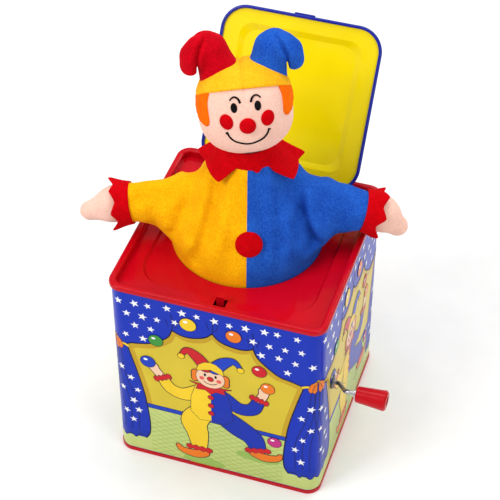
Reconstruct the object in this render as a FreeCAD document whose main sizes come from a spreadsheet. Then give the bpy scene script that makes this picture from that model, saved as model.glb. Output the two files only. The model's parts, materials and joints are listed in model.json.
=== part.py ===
import FreeCAD, Part
import math
import os
import re

import Sketcher
from FreeCAD import Placement, Rotation, Vector

# A jack in the box. Millimetres, +Z up. The origin is the middle of the box's underside,
# the lid hinges at +Y, the latch is at -Y and the crank is on the +X side.
SIZES = {
    # tin box
    "box_half": 70, "wall": 0.6, "box_corner": 9, "wall_foot": 0.85, "wall_top": 152.5,
    "pan_sheet": 0.8, "seam_half": 70.6, "seam_tall": 3.0, "flange_tall": 4.0,
    # top tray
    "rim_half": 71.2, "rim_corner": 9.4, "rim_top": 155.8, "rim_inner": 66.6,
    "shelf_top": 151, "tray_sheet": 0.6, "recess_half": 57.2, "recess_floor_half": 55.7,
    "recess_corner": 20, "recess_top": 149.4, "mouth_radius": 49, "mouth_x": -2.5, "mouth_y": 5.8,
    "hem": 1.0, "hem_foot": 146, "slot_left": -2.8, "slot_right": 4.8, "slot_front": -65, "slot_back": -55,
    # lid
    "hinge_y": 57, "hinge_z": 152.4, "lid_open": 124.1, "lid_half": 54.9, "lid_front": -54.8,
    "lid_back": 55, "lid_corner": 17.25, "lid_drop": 1.2, "curl": 1.15, "lid_sheet": 0.5,
    "panel_half": 41.2, "panel_front": -43.2, "panel_back": 42.6, "panel_slope": 3.8,
    "panel_rise": 1.6, "panel_corner": 9, "catch_half": 7, "catch_out": 1.0,
    "pin_radius": 0.7, "knuckle_bore": 0.75, "knuckle_radius": 1.3,
    "knuckle_near": 14, "knuckle_far": 30, "loop_gap": 0.4, "loop_end": 40,
    "leaf_front": 47, "leaf_back": 54.5, "leaf_sheet": 0.5, "loop_foot_back": 64.5,
    # crank and knob
    "crank_y": -42.7, "crank_z": 84.4, "wire_radius": 1.5, "bore_play": 0.05,
    "crank_inner_end": 40.6, "crank_bend_start": 75, "crank_slant": 8, "crank_throw": 20,
    "crank_turned": 53.13, "crank_outer_end": 108.4, "knob_start": 90.1, "knob_end": 110,
    "knob_small": 5.2, "knob_large": 6.7, "knob_round": 1.2, "knob_recess_radius": 3.3,
    "knob_recess": 2.6, "stop_radius": 2.6, "end_radius": 2.8, "grommet_radius": 3.5,
    "grommet_flange": 4.6,
    # musical movement
    "cheek_inner": 42, "cheek_outer": 64.8, "cheek": 1.2, "cheek_front": -66.5,
    "cheek_back": -24.5, "cheek_top": 94, "drum_drop": 24.15, "drum_radius": 8,
    "drum_start": 47, "drum_long": 13, "pin_tall": 1.0, "drum_pin_radius": 0.35,
    "comb_screw_left": 49.5, "comb_screw_right": 57.5, "comb_screw_y": -64.4,
    "comb_screw_radius": 0.8, "comb_back": -62.3, "comb_root": -61.5,
    "foot_left": 49, "foot_right": 61, "foot_front": -60, "foot_back": -32, "foot_radius": 1.3,
    "foot_head_radius": 2.4, "window_edge": 7, "window_foot": 8, "window_top": 34,
    "guide_end": 47, "guide_front": -48, "guide_back": -37.4, "guide_foot": 74.5,
    "guide_top": 77.5, "module": 1, "pinion_teeth": 12, "gear_teeth": 36, "gear_start": 61,
    "gear_wide": 2.5,
    "cam_start": 44, "cam_wide": 1.8, "cam_radius": 6, "cam_lobe": 9,
    # latch
    "rocker_y": -60.6, "rocker_z": 141, "rocker_start": -9.5, "rocker_end": 50,
    "hook_left": -1.5, "hook_wide": 5, "hook_front": -60.2, "hook_sheet": 0.8,
    "hook_top": 156, "hook_lip": 3.6, "barrel_radius": 2.6, "trip_end": -38.5,
    "rod_start": 44.2, "rod_sheet": 1.2, "rod_foot": 72, "rod_top": 139.8,
    "trip_start": 42.5, "trip_far": 47, "hanger_left": -7.5, "hanger_right": 48,
    "hanger_sheet": 1, "hanger_front": -65.5, "hanger_back": -58,
    # jumping clown
    "clown_x": -2, "clown_y": 4.5, "clown_turn": 16, "spring_radius": 22,
    "spring_wire": 1.1, "spring_foot": 3.4, "spring_tall": 195, "spring_turns": 8,
    "seat_radius": 26, "disc_radius": 24, "disc_sheet": 1.5, "disc_z": 200.2,
    "tunic_radius": 42, "mouth_tunic_radius": 46, "tunic_foot": 6, "tunic_waist": 156,
    "cone_foot": 166, "cone_foot_radius": 43, "cone_top": 214, "cone_top_radius": 22.2,
    "neck_z": 216,
    "cloth": 1.2, "head_x": -1.6, "head_z": 257.5, "head_tilt": 20, "head_turn": 6.5,
    "head_roll": 4, "head_wide": 28.5, "head_deep": 27, "head_tall": 28.5, "hat_plane": 12,
    "neck_radius": 11,
    "collar_z": 220, "collar_sheet": 1.5, "collar_points": 9, "collar_tip": 34,
    "collar_dip": 26, "arm_pivot": 44, "arm_z": 181, "droop_left": 9,
    "droop_right": 13, "arm_root": 51.5, "sleeve_root": 18, "sleeve_end": 74.5,
    "sleeve_small": 13.2, "cuff_end": 87.5, "cuff_radius": 16.4, "cuff_bore": 12.6,
    "hand_reach": 93, "hand_long": 14, "hand_tall": 12.4, "hand_thick": 11,
    "button_x": 2, "button_z": 177.8, "button_radius": 8.6, "button_out": 38.1,
    "button_sheet": 2.2, "button_tilt": 23.4,
}

doc = FreeCAD.newDocument("JackInTheBox")
sheet = doc.addObject("Spreadsheet::Sheet", "Sizes")
for row, (alias, value) in enumerate(SIZES.items(), start=1):
    sheet.set(f"A{row}", alias)
    sheet.set(f"B{row}", str(value))
    sheet.setAlias(f"B{row}", alias)
doc.recompute()

X_AXIS, Y_AXIS, Z_AXIS = Vector(1, 0, 0), Vector(0, 1, 0), Vector(0, 0, 1)
ALONG_X = Rotation(Y_AXIS, 90)  # turns a primitive's own Z to the row's +X
nodes = {}


def formula(text):
    """The text with each alias of the sheet written as the sheet's own."""
    return re.sub(
        r"[a-z_][a-z_0-9]*", lambda m: f"Sizes.{m[0]}" if m[0] in SIZES else m[0], str(text)
    )


def size(text):
    return float(sheet.evalExpression(formula(text)))


def bind(obj, prop, text):
    obj.setExpression(prop, formula(text))


def node(name, obj):
    """Makes obj the sub-part of that name."""
    obj.Label = name
    nodes[name] = obj
    return obj


# ---------------------------------------------------------------- Part primitives


def primitive(kind, name, at=None, turn=None, **sizes):
    """A Part primitive; at gives formulas for its place, and without them it can be placed later."""
    obj = doc.addObject(f"Part::{kind}", name)
    for prop, text in sizes.items():
        bind(obj, prop, text)
    if turn:
        obj.Placement.Rotation = turn
    for axis, text in zip("xyz", at or ()):
        bind(obj, f"Placement.Base.{axis}", text)
    return obj


def block(name, x, y, z):
    """A box between the two formulas given for each axis."""
    return primitive(
        "Box", name, (x[0], y[0], z[0]),
        Length=f"({x[1]}) - ({x[0]})", Width=f"({y[1]}) - ({y[0]})", Height=f"({z[1]}) - ({z[0]})",
    )


def rod_x(name, x, y, z, radius):
    """A cylinder along X between the two formulas in x."""
    return primitive(
        "Cylinder", name, (x[0], y, z), ALONG_X, Radius=radius, Height=f"({x[1]}) - ({x[0]})"
    )


def rod_z(name, x, y, z, radius):
    return primitive("Cylinder", name, (x, y, z[0]), Radius=radius, Height=f"({z[1]}) - ({z[0]})")


def cone_x(name, x, y, z, radii):
    return primitive(
        "Cone", name, (x[0], y, z), ALONG_X,
        Radius1=radii[0], Radius2=radii[1], Height=f"({x[1]}) - ({x[0]})",
    )


def fuse(name, *shapes):
    obj = doc.addObject("Part::MultiFuse", name)
    obj.Shapes = list(shapes)
    return obj


def cut(name, base, tool):
    obj = doc.addObject("Part::Cut", name)
    obj.Base, obj.Tool = base, tool
    return obj


def common(name, base, tool):
    obj = doc.addObject("Part::Common", name)
    obj.Base, obj.Tool = base, tool
    return obj


def group(name, *solids):
    """Several solids that share a node."""
    obj = doc.addObject("Part::Compound", name)
    obj.Links = list(solids)
    return obj


def feature(name, shape):
    obj = doc.addObject("Part::Feature", name)
    obj.Shape = shape
    return obj


# ---------------------------------------------------------------- PartDesign bodies


def new_sketch(body, name, role="XY_Plane", offset="0"):
    sketch = body.newObject("Sketcher::SketchObject", name)
    plane = next(f for f in body.Origin.OriginFeatures if f.Role == role)
    sketch.AttachmentSupport = [(plane, "")]
    sketch.MapMode = "FlatFace"
    bind(sketch, "AttachmentOffset.Base.z", offset)
    return sketch


def constrain(sketch, *what, text=None):
    index = sketch.addConstraint(Sketcher.Constraint(*what))
    if text is not None:
        bind(sketch, f"Constraints[{index}]", text)


def hold_point(sketch, geometry, point, x=None, y=None):
    """Holds a point at formulas measured from the sketch's origin."""
    for kind, axis, text in (("DistanceX", -2, x), ("DistanceY", -1, y)):
        if text is None:
            continue
        if size(text) == 0:
            constrain(sketch, "PointOnObject", geometry, point, axis)
        else:
            constrain(sketch, kind, -1, 1, geometry, point, size(text), text=text)


def circle(sketch, radius, x="0", y="0"):
    at = Vector(size(x), size(y), 0)
    index = sketch.addGeometry(Part.Circle(at, Z_AXIS, size(radius)))
    hold_point(sketch, index, 3, x, y)
    constrain(sketch, "Radius", index, size(radius), text=radius)


def rounded(sketch, right, back, radius, left=None, front=None):
    """A rectangle with round corners; left and front default to mirror images of the others."""
    left, front = left or f"-({right})", front or f"-({back})"
    x0, x1, y0, y1, r = (size(v) for v in (left, right, front, back, radius))
    sides = (
        ((x0 + r, y0), (x1 - r, y0)), ((x1, y0 + r), (x1, y1 - r)),
        ((x1 - r, y1), (x0 + r, y1)), ((x0, y1 - r), (x0, y0 + r)),
    )
    centres = ((x1 - r, y0 + r), (x1 - r, y1 - r), (x0 + r, y1 - r), (x0 + r, y0 + r))
    first = sketch.GeometryCount
    for k in range(4):
        sketch.addGeometry(Part.LineSegment(Vector(*sides[k][0], 0), Vector(*sides[k][1], 0)))
        turn = Part.Circle(Vector(*centres[k], 0), Z_AXIS, r)
        start = (k - 1) * math.pi / 2
        sketch.addGeometry(Part.ArcOfCircle(turn, start, start + math.pi / 2))
    for k in range(4):
        line, arc = first + 2 * k, first + 2 * k + 1
        constrain(sketch, "Tangent", line, 2, arc, 1)
        constrain(sketch, "Tangent", arc, 2, first + (2 * k + 2) % 8, 1)
        constrain(sketch, "Vertical" if k % 2 else "Horizontal", line)
        if k:
            constrain(sketch, "Equal", first + 1, arc)
    constrain(sketch, "Radius", first + 1, r, text=radius)
    hold_point(sketch, first, 1, y=front)
    hold_point(sketch, first + 2, 1, x=right)
    hold_point(sketch, first + 4, 1, y=back)
    hold_point(sketch, first + 6, 1, x=left)


def outline(sketch, points):
    """A closed outline through points given as pairs of formulas."""
    at = [Vector(size(x), size(y), 0) for x, y in points]
    first = sketch.GeometryCount
    for k, point in enumerate(at):
        sketch.addGeometry(Part.LineSegment(point, at[(k + 1) % len(at)]))
    for k, (x, y) in enumerate(points):
        constrain(sketch, "Coincident", first + k, 2, first + (k + 1) % len(at), 1)
        hold_point(sketch, first + k, 1, x, y)


def pad(body, name, sketch, length, down=False):
    obj = body.newObject("PartDesign::Pad", name)
    obj.Profile, obj.Reversed = sketch, down
    bind(obj, "Length", length)
    sketch.Visibility = False
    return obj


def pocket(body, name, sketch, length, up=False):
    obj = body.newObject("PartDesign::Pocket", name)
    obj.Profile, obj.Reversed = sketch, up
    bind(obj, "Length", length)
    return obj


def loft(body, name, lower, upper, cutting=False):
    kind = "SubtractiveLoft" if cutting else "AdditiveLoft"
    obj = body.newObject(f"PartDesign::{kind}", name)
    obj.Profile, obj.Sections, obj.Ruled = lower, [upper], True
    return obj


def revolve(body, name, sketch, angle=360, axis="V_Axis"):
    obj = body.newObject("PartDesign::Revolution", name)
    obj.Profile, obj.ReferenceAxis, obj.Angle = sketch, (sketch, [axis]), angle
    return obj


def new_body(name):
    return node(name, doc.addObject("PartDesign::Body", name))


def ring(body, name, foot, tall, outer, outer_corner, inner, inner_corner):
    """A band with a rounded square outside and inside."""
    sketch = new_sketch(body, f"{name}_sketch", offset=foot)
    rounded(sketch, outer, outer, outer_corner)
    rounded(sketch, inner, inner, inner_corner)
    return pad(body, name, sketch, tall)


# ---------------------------------------------------------------- tin box


def box_body():
    body = new_body("box_body")
    ring(
        body, "walls", "wall_foot", "wall_top - wall_foot",
        "box_half", "box_corner", "box_half - wall", "box_corner - wall",
    )
    hole = new_sketch(body, "crank_hole_sketch", "YZ_Plane", "box_half - 5 * wall")
    circle(hole, "grommet_radius + bore_play", "crank_y", "crank_z")
    pocket(body, "crank_hole", hole, "10 * wall", up=True)


def base_pan():
    body = new_body("base_pan")
    plate = new_sketch(body, "plate_sketch")
    rounded(plate, "seam_half", "seam_half", "box_corner + wall")
    pad(body, "plate", plate, "pan_sheet")
    ring(
        body, "seam", "0", "seam_tall", "seam_half", "box_corner + wall",
        "box_half + 0.02", "box_corner + 0.02",
    )
    ring(
        body, "inner_flange", "0", "flange_tall", "box_half - wall - 0.05", "box_corner - wall - 0.05",
        "box_half - 2 * wall - 0.05", "box_corner - 2 * wall - 0.05",
    )


def top_tray():
    body = new_body("top_tray")
    floor = "recess_top - tray_sheet"
    shelf = new_sketch(body, "shelf_sketch", offset="shelf_top - tray_sheet")
    rounded(shelf, "rim_inner + tray_sheet", "rim_inner + tray_sheet", "rim_corner - 3.5")
    pad(body, "shelf", shelf, "tray_sheet")
    ring(
        body, "tray_wall", "shelf_top - tray_sheet", "rim_top - shelf_top", "rim_inner + tray_sheet",
        "rim_corner - 3.5", "rim_inner", "rim_corner - 4.1",
    )
    bead = ring(
        body, "rim_bead", "wall_top", "rim_top - wall_top", "rim_half", "rim_corner",
        "rim_inner", "rim_corner - 4.1",
    )
    doc.recompute()
    top_edges = [
        f"Edge{k}" for k, edge in enumerate(bead.Shape.Edges, start=1)
        if edge.BoundBox.ZMin > size("rim_top") - 1e-4
    ]
    fillet = body.newObject("PartDesign::Fillet", "rim_rounding")
    fillet.Base = (bead, top_edges)
    fillet.Radius = 1.6
    pan = new_sketch(body, "recess_pan_sketch", offset=floor)
    rounded(pan, "recess_half + tray_sheet", "recess_half + tray_sheet", "recess_corner + tray_sheet")
    pad(body, "recess_pan", pan, f"shelf_top - ({floor})")
    upper = new_sketch(body, "recess_mouth_sketch", offset="shelf_top")
    rounded(upper, "recess_half", "recess_half", "recess_corner")
    lower = new_sketch(body, "recess_floor_sketch", offset="recess_top")
    rounded(lower, "recess_floor_half", "recess_floor_half", "recess_corner - 1.5")
    loft(body, "recess", lower, upper, cutting=True)
    hem = new_sketch(body, "hem_sketch", offset="hem_foot")
    circle(hem, "mouth_radius + hem", "mouth_x", "mouth_y")
    pad(body, "mouth_hem", hem, "recess_top - hem_foot")
    mouth = new_sketch(body, "mouth_sketch", offset="shelf_top")
    circle(mouth, "mouth_radius", "mouth_x", "mouth_y")
    pocket(body, "mouth", mouth, "2 * (shelf_top - hem_foot)")
    slot = new_sketch(body, "slot_sketch", offset="shelf_top + 1")
    rounded(slot, "slot_right", "slot_back", "0.8", left="slot_left", front="slot_front")
    pocket(body, "latch_slot", slot, "4")


def lid():
    """Built shut, then turned open about its hinge."""
    body = new_body("lid")
    foot = "hinge_z - lid_drop + curl - lid_sheet"
    skin = new_sketch(body, "skin_sketch", offset=foot)
    inset = "(curl)"
    rounded(
        skin, f"lid_half - {inset}", f"lid_back - {inset}", f"lid_corner - {inset}",
        front=f"lid_front + {inset}",
    )
    pad(body, "skin", skin, "lid_sheet")
    path = new_sketch(body, "curl_path", offset="hinge_z - lid_drop")
    rounded(
        path, f"lid_half - {inset}", f"lid_back - {inset}", f"lid_corner - {inset}",
        front=f"lid_front + {inset}",
    )
    profile = new_sketch(body, "curl_profile", "XZ_Plane")
    circle(profile, "curl", "lid_half - curl", "hinge_z - lid_drop")
    rolled = body.newObject("PartDesign::AdditivePipe", "rolled_edge")
    rolled.Profile, rolled.Spine = profile, (path, [f"Edge{k}" for k in range(1, 9)])
    for name, base, cutting in (("panel", f"{foot} + lid_sheet", False), ("panel_hollow", foot, True)):
        back_off = "lid_sheet" if cutting else "0"
        levels = []
        for level, shrink in (("0", "0"), ("panel_rise", "panel_slope")):
            sketch = new_sketch(body, f"{name}_{len(levels)}", offset=f"{base} + {level}")
            less = f"{shrink} - {back_off}" if cutting else shrink
            rounded(
                sketch, f"panel_half - ({less})", f"panel_back - ({less})", "panel_corner",
                front=f"panel_front + ({less})",
            )
            levels.append(sketch)
        loft(body, name, *levels, cutting=cutting)
    catch = new_sketch(body, "catch_sketch", offset="hinge_z - lid_drop - 0.6")
    rounded(catch, "catch_half", "lid_front + curl", "0.9", front="lid_front - catch_out")
    pad(body, "catch", catch, "1.2")
    open_lid(body)


def open_lid(obj):
    """Swings an object that is built shut about the hinge, to the open angle."""
    axis = Vector(0, size("hinge_y"), size("hinge_z"))
    obj.Placement = Placement(Vector(), Rotation(X_AXIS, -size("lid_open")), axis)


def hinge():
    """The leaf and its knuckles on the lid, the loops on the tray, and the pin."""
    top = "hinge_z - lid_drop + curl"
    thick = (top, f"{top} + leaf_sheet")
    leaf = block("leaf_plate", ("-knuckle_far", "knuckle_far"), ("leaf_front", "leaf_back"), thick)
    solids, bores = [leaf], []
    knuckles = (("-knuckle_far", "-knuckle_near"), ("knuckle_near", "knuckle_far"))
    for side, (near, far) in enumerate(knuckles):
        solids.append(rod_x(f"knuckle_{side}", (near, far), "hinge_y", "hinge_z", "knuckle_radius"))
        tang_y = ("leaf_back - leaf_sheet", "hinge_y - 0.6")
        solids.append(block(f"tang_{side}", (near, far), tang_y, thick))
        ends = (f"{near} - 1", f"{far} + 1")
        bores.append(rod_x(f"knuckle_bore_{side}", ends, "hinge_y", "hinge_z", "knuckle_bore"))
    leaf = cut("lid_hinge_leaf", fuse("leaf_whole", *solids), fuse("leaf_bores", *bores))
    open_lid(node("lid_hinge_leaf", leaf))
    loops = []
    spans = (
        ("-loop_end", "-knuckle_far - loop_gap"), ("-knuckle_near + loop_gap", "knuckle_near - loop_gap"),
        ("knuckle_far + loop_gap", "loop_end"),
    )
    for k, (near, far) in enumerate(spans):
        tube = rod_x(f"loop_{k}", (near, far), "hinge_y", "hinge_z", "knuckle_radius")
        foot_y, foot_z = ("hinge_y + 0.3", "loop_foot_back"), ("shelf_top", "shelf_top + leaf_sheet")
        foot = block(f"loop_foot_{k}", (near, far), foot_y, foot_z)
        bore = rod_x(f"loop_bore_{k}", (f"{near} - 1", f"{far} + 1"), "hinge_y", "hinge_z", "knuckle_bore")
        loops.append(cut(f"hinge_loop_{k}", fuse(f"loop_whole_{k}", tube, foot), bore))
    node("tray_hinge_loops", group("tray_hinge_loops", *loops))
    pin_x = ("-loop_end - 1", "loop_end + 1")
    node("lid_hinge_pin", rod_x("lid_hinge_pin", pin_x, "hinge_y", "hinge_z", "pin_radius"))


# ---------------------------------------------------------------- crank


def crank_wire():
    """One bent wire: shaft, slanted arm and handle, in the plane through the shaft's axis."""
    body = new_body("crank_wire")
    path = new_sketch(body, "crank_path", "XZ_Plane")
    corner = "crank_bend_start + crank_slant"
    outline_open = [
        ("crank_inner_end", "0"), ("crank_bend_start", "0"),
        (corner, "crank_throw"), ("crank_outer_end", "crank_throw"),
    ]
    at = [Vector(size(x), size(y), 0) for x, y in outline_open]
    for k in range(3):
        path.addGeometry(Part.LineSegment(at[k], at[k + 1]))
    for k in range(3):
        hold_point(path, k, 1, *outline_open[k])
    hold_point(path, 2, 2, *outline_open[3])
    for k in (0, 1):
        constrain(path, "Coincident", k, 2, k + 1, 1)
    path.solve()
    bend = 4
    path.fillet(0, 1, at[1] - Vector(2, 0, 0), at[1] + (at[2] - at[1]) * 0.1, bend, True, False)
    path.fillet(1, 2, at[2] - (at[2] - at[1]) * 0.1, at[2] + Vector(2, 0, 0), bend, True, False)
    profile = new_sketch(body, "crank_profile", "YZ_Plane", "crank_inner_end")
    circle(profile, "wire_radius")
    pipe = body.newObject("PartDesign::AdditivePipe", "crank_bent_wire")
    doc.recompute()
    pipe.Profile, pipe.Spine = profile, (path, [f"Edge{k + 1}" for k in range(len(path.Shape.Edges))])
    at_axis = Vector(0, size("crank_y"), size("crank_z"))
    body.Placement = Placement(at_axis, Rotation(X_AXIS, size("crank_turned")))


def crank_furniture():
    """The knob, its retainers and the grommet in the wall."""
    turned = math.radians(size("crank_turned"))
    handle = Placement(
        Vector(
            0,
            size("crank_y") - math.sin(turned) * size("crank_throw"),
            size("crank_z") + math.cos(turned) * size("crank_throw"),
        ),
        Rotation(),
    )
    knob = new_body("crank_knob")
    section = new_sketch(knob, "knob_section", "XZ_Plane")
    bore = "wire_radius + bore_play"
    outline(section, [
        ("knob_start", bore), ("knob_start", "knob_small - knob_round * 0.6"),
        ("knob_start + knob_round * 0.6", "knob_small"), ("knob_end - knob_round", "knob_large"),
        ("knob_end", "knob_large - knob_round"), ("knob_end", "knob_recess_radius"),
        ("knob_end - knob_recess", "knob_recess_radius"), ("knob_end - knob_recess", bore),
    ])
    revolve(knob, "knob_turned", section, axis="H_Axis")
    knob.Placement = handle
    collar = rod_x("collar_blank", ("knob_start - 1.5", "knob_start - 0.3"), "0", "0", "stop_radius")
    end = rod_x("end_blank", ("knob_end - 2.3", "knob_end - 0.8"), "0", "0", "end_radius")
    wire = rod_x("wire_space", ("crank_bend_start", "crank_outer_end"), "0", "0", "wire_radius")
    retainers = node("knob_retainers", cut("knob_retainers", group("retainer_blanks", collar, end), wire))
    retainers.Placement = handle
    at = ("crank_y", "crank_z")
    sleeve_x = ("box_half - 3 * wall", "box_half + 0.02")
    sleeve = rod_x("grommet_sleeve", sleeve_x, *at, "grommet_radius")
    flange = rod_x("grommet_lip", ("box_half", "box_half + 1"), *at, "grommet_flange")
    space = rod_x("grommet_bore", ("box_half - 4", "box_half + 4"), "crank_y", "crank_z", bore)
    node("crank_grommet", cut("crank_grommet", fuse("grommet_whole", sleeve, flange), space))


# ---------------------------------------------------------------- musical movement

DRUM_Z = "(crank_z - drum_drop)"


def movement_frame():
    """Two cheeks on a foot plate, with a bar for the comb and a guide for the release rod."""
    y, bore = ("cheek_front", "cheek_back"), "wire_radius + bore_play"
    cheeks = []
    for name, x in (("inner", "cheek_inner"), ("outer", "cheek_outer")):
        plate = block(f"cheek_{name}", (x, f"{x} + cheek"), y, ("pan_sheet", "cheek_top"))
        around = (f"{x} - 1", f"{x} + cheek + 1")
        window_y = ("cheek_front + window_edge", "cheek_back - window_edge")
        window = block(f"window_{name}", around, window_y, ("window_foot", "window_top"))
        holes = [
            rod_x(f"crank_bore_{name}", around, "crank_y", "crank_z", bore),
            rod_x(f"drum_bore_{name}", around, "crank_y", DRUM_Z, bore),
        ]
        cheeks.append(cut(f"cheek_{name}_cut", plate, fuse(f"cheek_{name}_holes", window, *holes)))
    across, foot_top = ("cheek_inner", "cheek_outer + cheek"), "pan_sheet + cheek"
    foot = block("foot_plate", across, y, ("pan_sheet", foot_top))
    spots = [(x, at) for x in ("foot_left", "foot_right") for at in ("foot_front", "foot_back")]
    bores = [rod_z(f"foot_bore_{k}", *at, ("0", "5"), "foot_radius") for k, at in enumerate(spots)]
    foot = cut("foot_drilled", foot, fuse("foot_bores", *bores))
    bar_z = (f"{DRUM_Z} - 3.3", f"{DRUM_Z} - 0.7")
    bar = block("comb_bar", across, ("cheek_front", "comb_back"), bar_z)
    guide_y, guide_z = ("guide_front", "guide_back"), ("guide_foot", "guide_top")
    guide = block("rod_guide", ("cheek_inner", "guide_end"), guide_y, guide_z)
    slot = block(
        "guide_slot", ("rod_start - 0.15", "rod_start + rod_sheet + 0.15"),
        ("guide_front + 1.6", "guide_back - 1.6"), ("guide_foot - 4", "guide_top + 3"),
    )
    guide = cut("rod_guide_cut", guide, slot)
    bar = cut("comb_bar_tapped", bar, fuse("comb_taps", *comb_bores("tap")))
    node("movement_frame", fuse("movement_frame", *cheeks, foot, bar, guide))
    heads = []
    for k, at in enumerate(spots):
        shank = rod_z(f"screw_shank_{k}", *at, ("pan_sheet", foot_top), "foot_radius")
        top = rod_z(f"screw_head_{k}", *at, (foot_top, f"{foot_top} + 1.2"), "foot_head_radius")
        heads.append(fuse(f"foot_screw_{k}", shank, top))
    node("movement_screws", group("movement_screws", *heads))


def comb_bores(name):
    """Two upright rods where the comb's screws go."""
    return [
        rod_z(f"comb_{name}_{k}", x, "comb_screw_y", ("40", "70"), "comb_screw_radius")
        for k, x in enumerate(("comb_screw_left", "comb_screw_right"))
    ]


def gear(name, teeth, start, wide, y, z, tip, root, phase):
    """A spur gear with straight-sided teeth on a disc, bored for the shaft, its axis along X."""
    body = new_body(name)
    disc = new_sketch(body, f"{name}_disc_sketch")
    circle(disc, root)
    circle(disc, "wire_radius")
    pad(body, f"{name}_disc", disc, wide)
    tooth = new_sketch(body, f"{name}_tooth_sketch")
    outline(tooth, [
        (f"{root} - 0.4", "-module * 0.92"), (f"{tip}", "-module * 0.34"),
        (f"{tip}", "module * 0.34"), (f"{root} - 0.4", "module * 0.92"),
    ])
    one = pad(body, f"{name}_tooth", tooth, wide)
    pattern = body.newObject("PartDesign::PolarPattern", f"{name}_teeth")
    pattern.Originals = [one]
    pattern.Axis = (disc, ["N_Axis"])
    pattern.Angle = 360
    bind(pattern, "Occurrences", teeth)
    body.Tip = pattern
    turn = Rotation(X_AXIS, phase).multiply(ALONG_X)
    body.Placement = Placement(Vector(size(start), size(y), size(z)), turn)


def drum():
    """The pin drum, its gear, its cam and its shaft, with the pinion on the crank shaft."""
    pinion_pitch, gear_pitch = "module * pinion_teeth / 2", "module * gear_teeth / 2"
    gear(
        "crank_pinion", "pinion_teeth", "gear_start - 0.75", "gear_wide + 1.5", "crank_y", "crank_z",
        f"{pinion_pitch} + module * 0.75", f"{pinion_pitch} - module * 1.15", 0,
    )
    gear(
        "drum_gear", "gear_teeth", "gear_start", "gear_wide", "crank_y", DRUM_Z,
        f"{gear_pitch} + module * 0.75", f"{gear_pitch} - module * 1.15", 180 / size("gear_teeth"),
    )
    end = "(drum_start + drum_long)"
    barrel = rod_x("drum_barrel", ("drum_start", end), "crank_y", DRUM_Z, "drum_radius")
    pins, rows, count = [], 9, 36
    for k in range(count):
        pin = primitive(
            "Cylinder", f"drum_pin_{k}", Radius="drum_pin_radius", Height="drum_radius + pin_tall - 5"
        )
        turn = Rotation(X_AXIS, k * 137.5)
        out = turn.multVec(Vector(0, 0, 5))
        x = size("drum_start") + 1.5 + (k * 4 % rows) * (size("drum_long") - 3) / (rows - 1)
        pin.Placement = Placement(Vector(x, size("crank_y") + out.y, size(DRUM_Z) + out.z), turn)
        pins.append(pin)
    bore = rod_x("drum_bore", ("drum_start - 1", f"{end} + 1"), "crank_y", DRUM_Z, "wire_radius")
    node("pin_drum", cut("pin_drum", fuse("drum_whole", barrel, *pins), bore))
    shaft_x, at = ("cheek_inner - 1.2", "cheek_outer + cheek + 0.5"), ("crank_y", DRUM_Z)
    node("drum_shaft", rod_x("drum_shaft", shaft_x, *at, "wire_radius"))
    cam_x, nose_z = ("cam_start", "cam_start + cam_wide"), f"{DRUM_Z} - cam_lobe + 2"
    disc = rod_x("cam_disc", cam_x, *at, "cam_radius")
    lobe = rod_x("cam_nose", cam_x, "crank_y", nose_z, "2")
    neck = block("cam_neck", cam_x, ("crank_y - 2", "crank_y + 2"), (nose_z, f"{DRUM_Z} - 3"))
    hole = rod_x("cam_bore", ("cam_start - 1", "cam_start + cam_wide + 1"), *at, "wire_radius")
    node("release_cam", cut("release_cam", fuse("cam_whole", disc, lobe, neck), hole))


def comb():
    """A steel comb with nine teeth, held on its bar by two screws."""
    teeth, pitch, first = 9, 1.25, size("drum_start") + 0.9
    foot, top = f"{DRUM_Z} - 0.7", f"{DRUM_Z} + 0.3"
    tips = "crank_y - drum_radius - pin_tall - 0.3"
    plate = block(
        "comb_plate", ("drum_start", "drum_start + drum_long"), ("cheek_front + 0.1", tips),
        (foot, top),
    )
    gap_y, gap_z = ("comb_root", f"{tips} + 1"), (f"{foot} - 1", f"{top} + 1")
    gaps = []
    for k in range(teeth - 1):
        x = first + (k + 0.78) * pitch
        gaps.append(block(f"comb_gap_{k}", (x, x + 0.45), gap_y, gap_z))
    node("music_comb", cut("music_comb", plate, fuse("comb_gaps", *gaps, *comb_bores("hole"))))
    screws = []
    for k, x in enumerate(("comb_screw_left", "comb_screw_right")):
        at = (x, "comb_screw_y")
        shank = rod_z(f"comb_shank_{k}", *at, (f"{DRUM_Z} - 3", top), "comb_screw_radius")
        head = rod_z(f"comb_head_{k}", *at, (top, f"{top} + 1"), "2 * comb_screw_radius")
        screws.append(fuse(f"comb_screw_{k}", shank, head))
    node("comb_screws", group("comb_screws", *screws))


# ---------------------------------------------------------------- latch


def coil(name, radius, wire, tall, turns, place):
    """A round wire wound into a helix about the place's own Z."""
    path = Part.Wire(Part.makeHelix(tall / turns, tall, radius))
    start = Part.Circle(Vector(radius, 0, 0), Vector(0, 1, tall / turns / (2 * math.pi * radius)), wire)
    profile = Part.Wire(start.toShape())
    obj = feature(name, path.makePipeShell([profile], True, True))
    obj.Placement = place
    return obj


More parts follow.
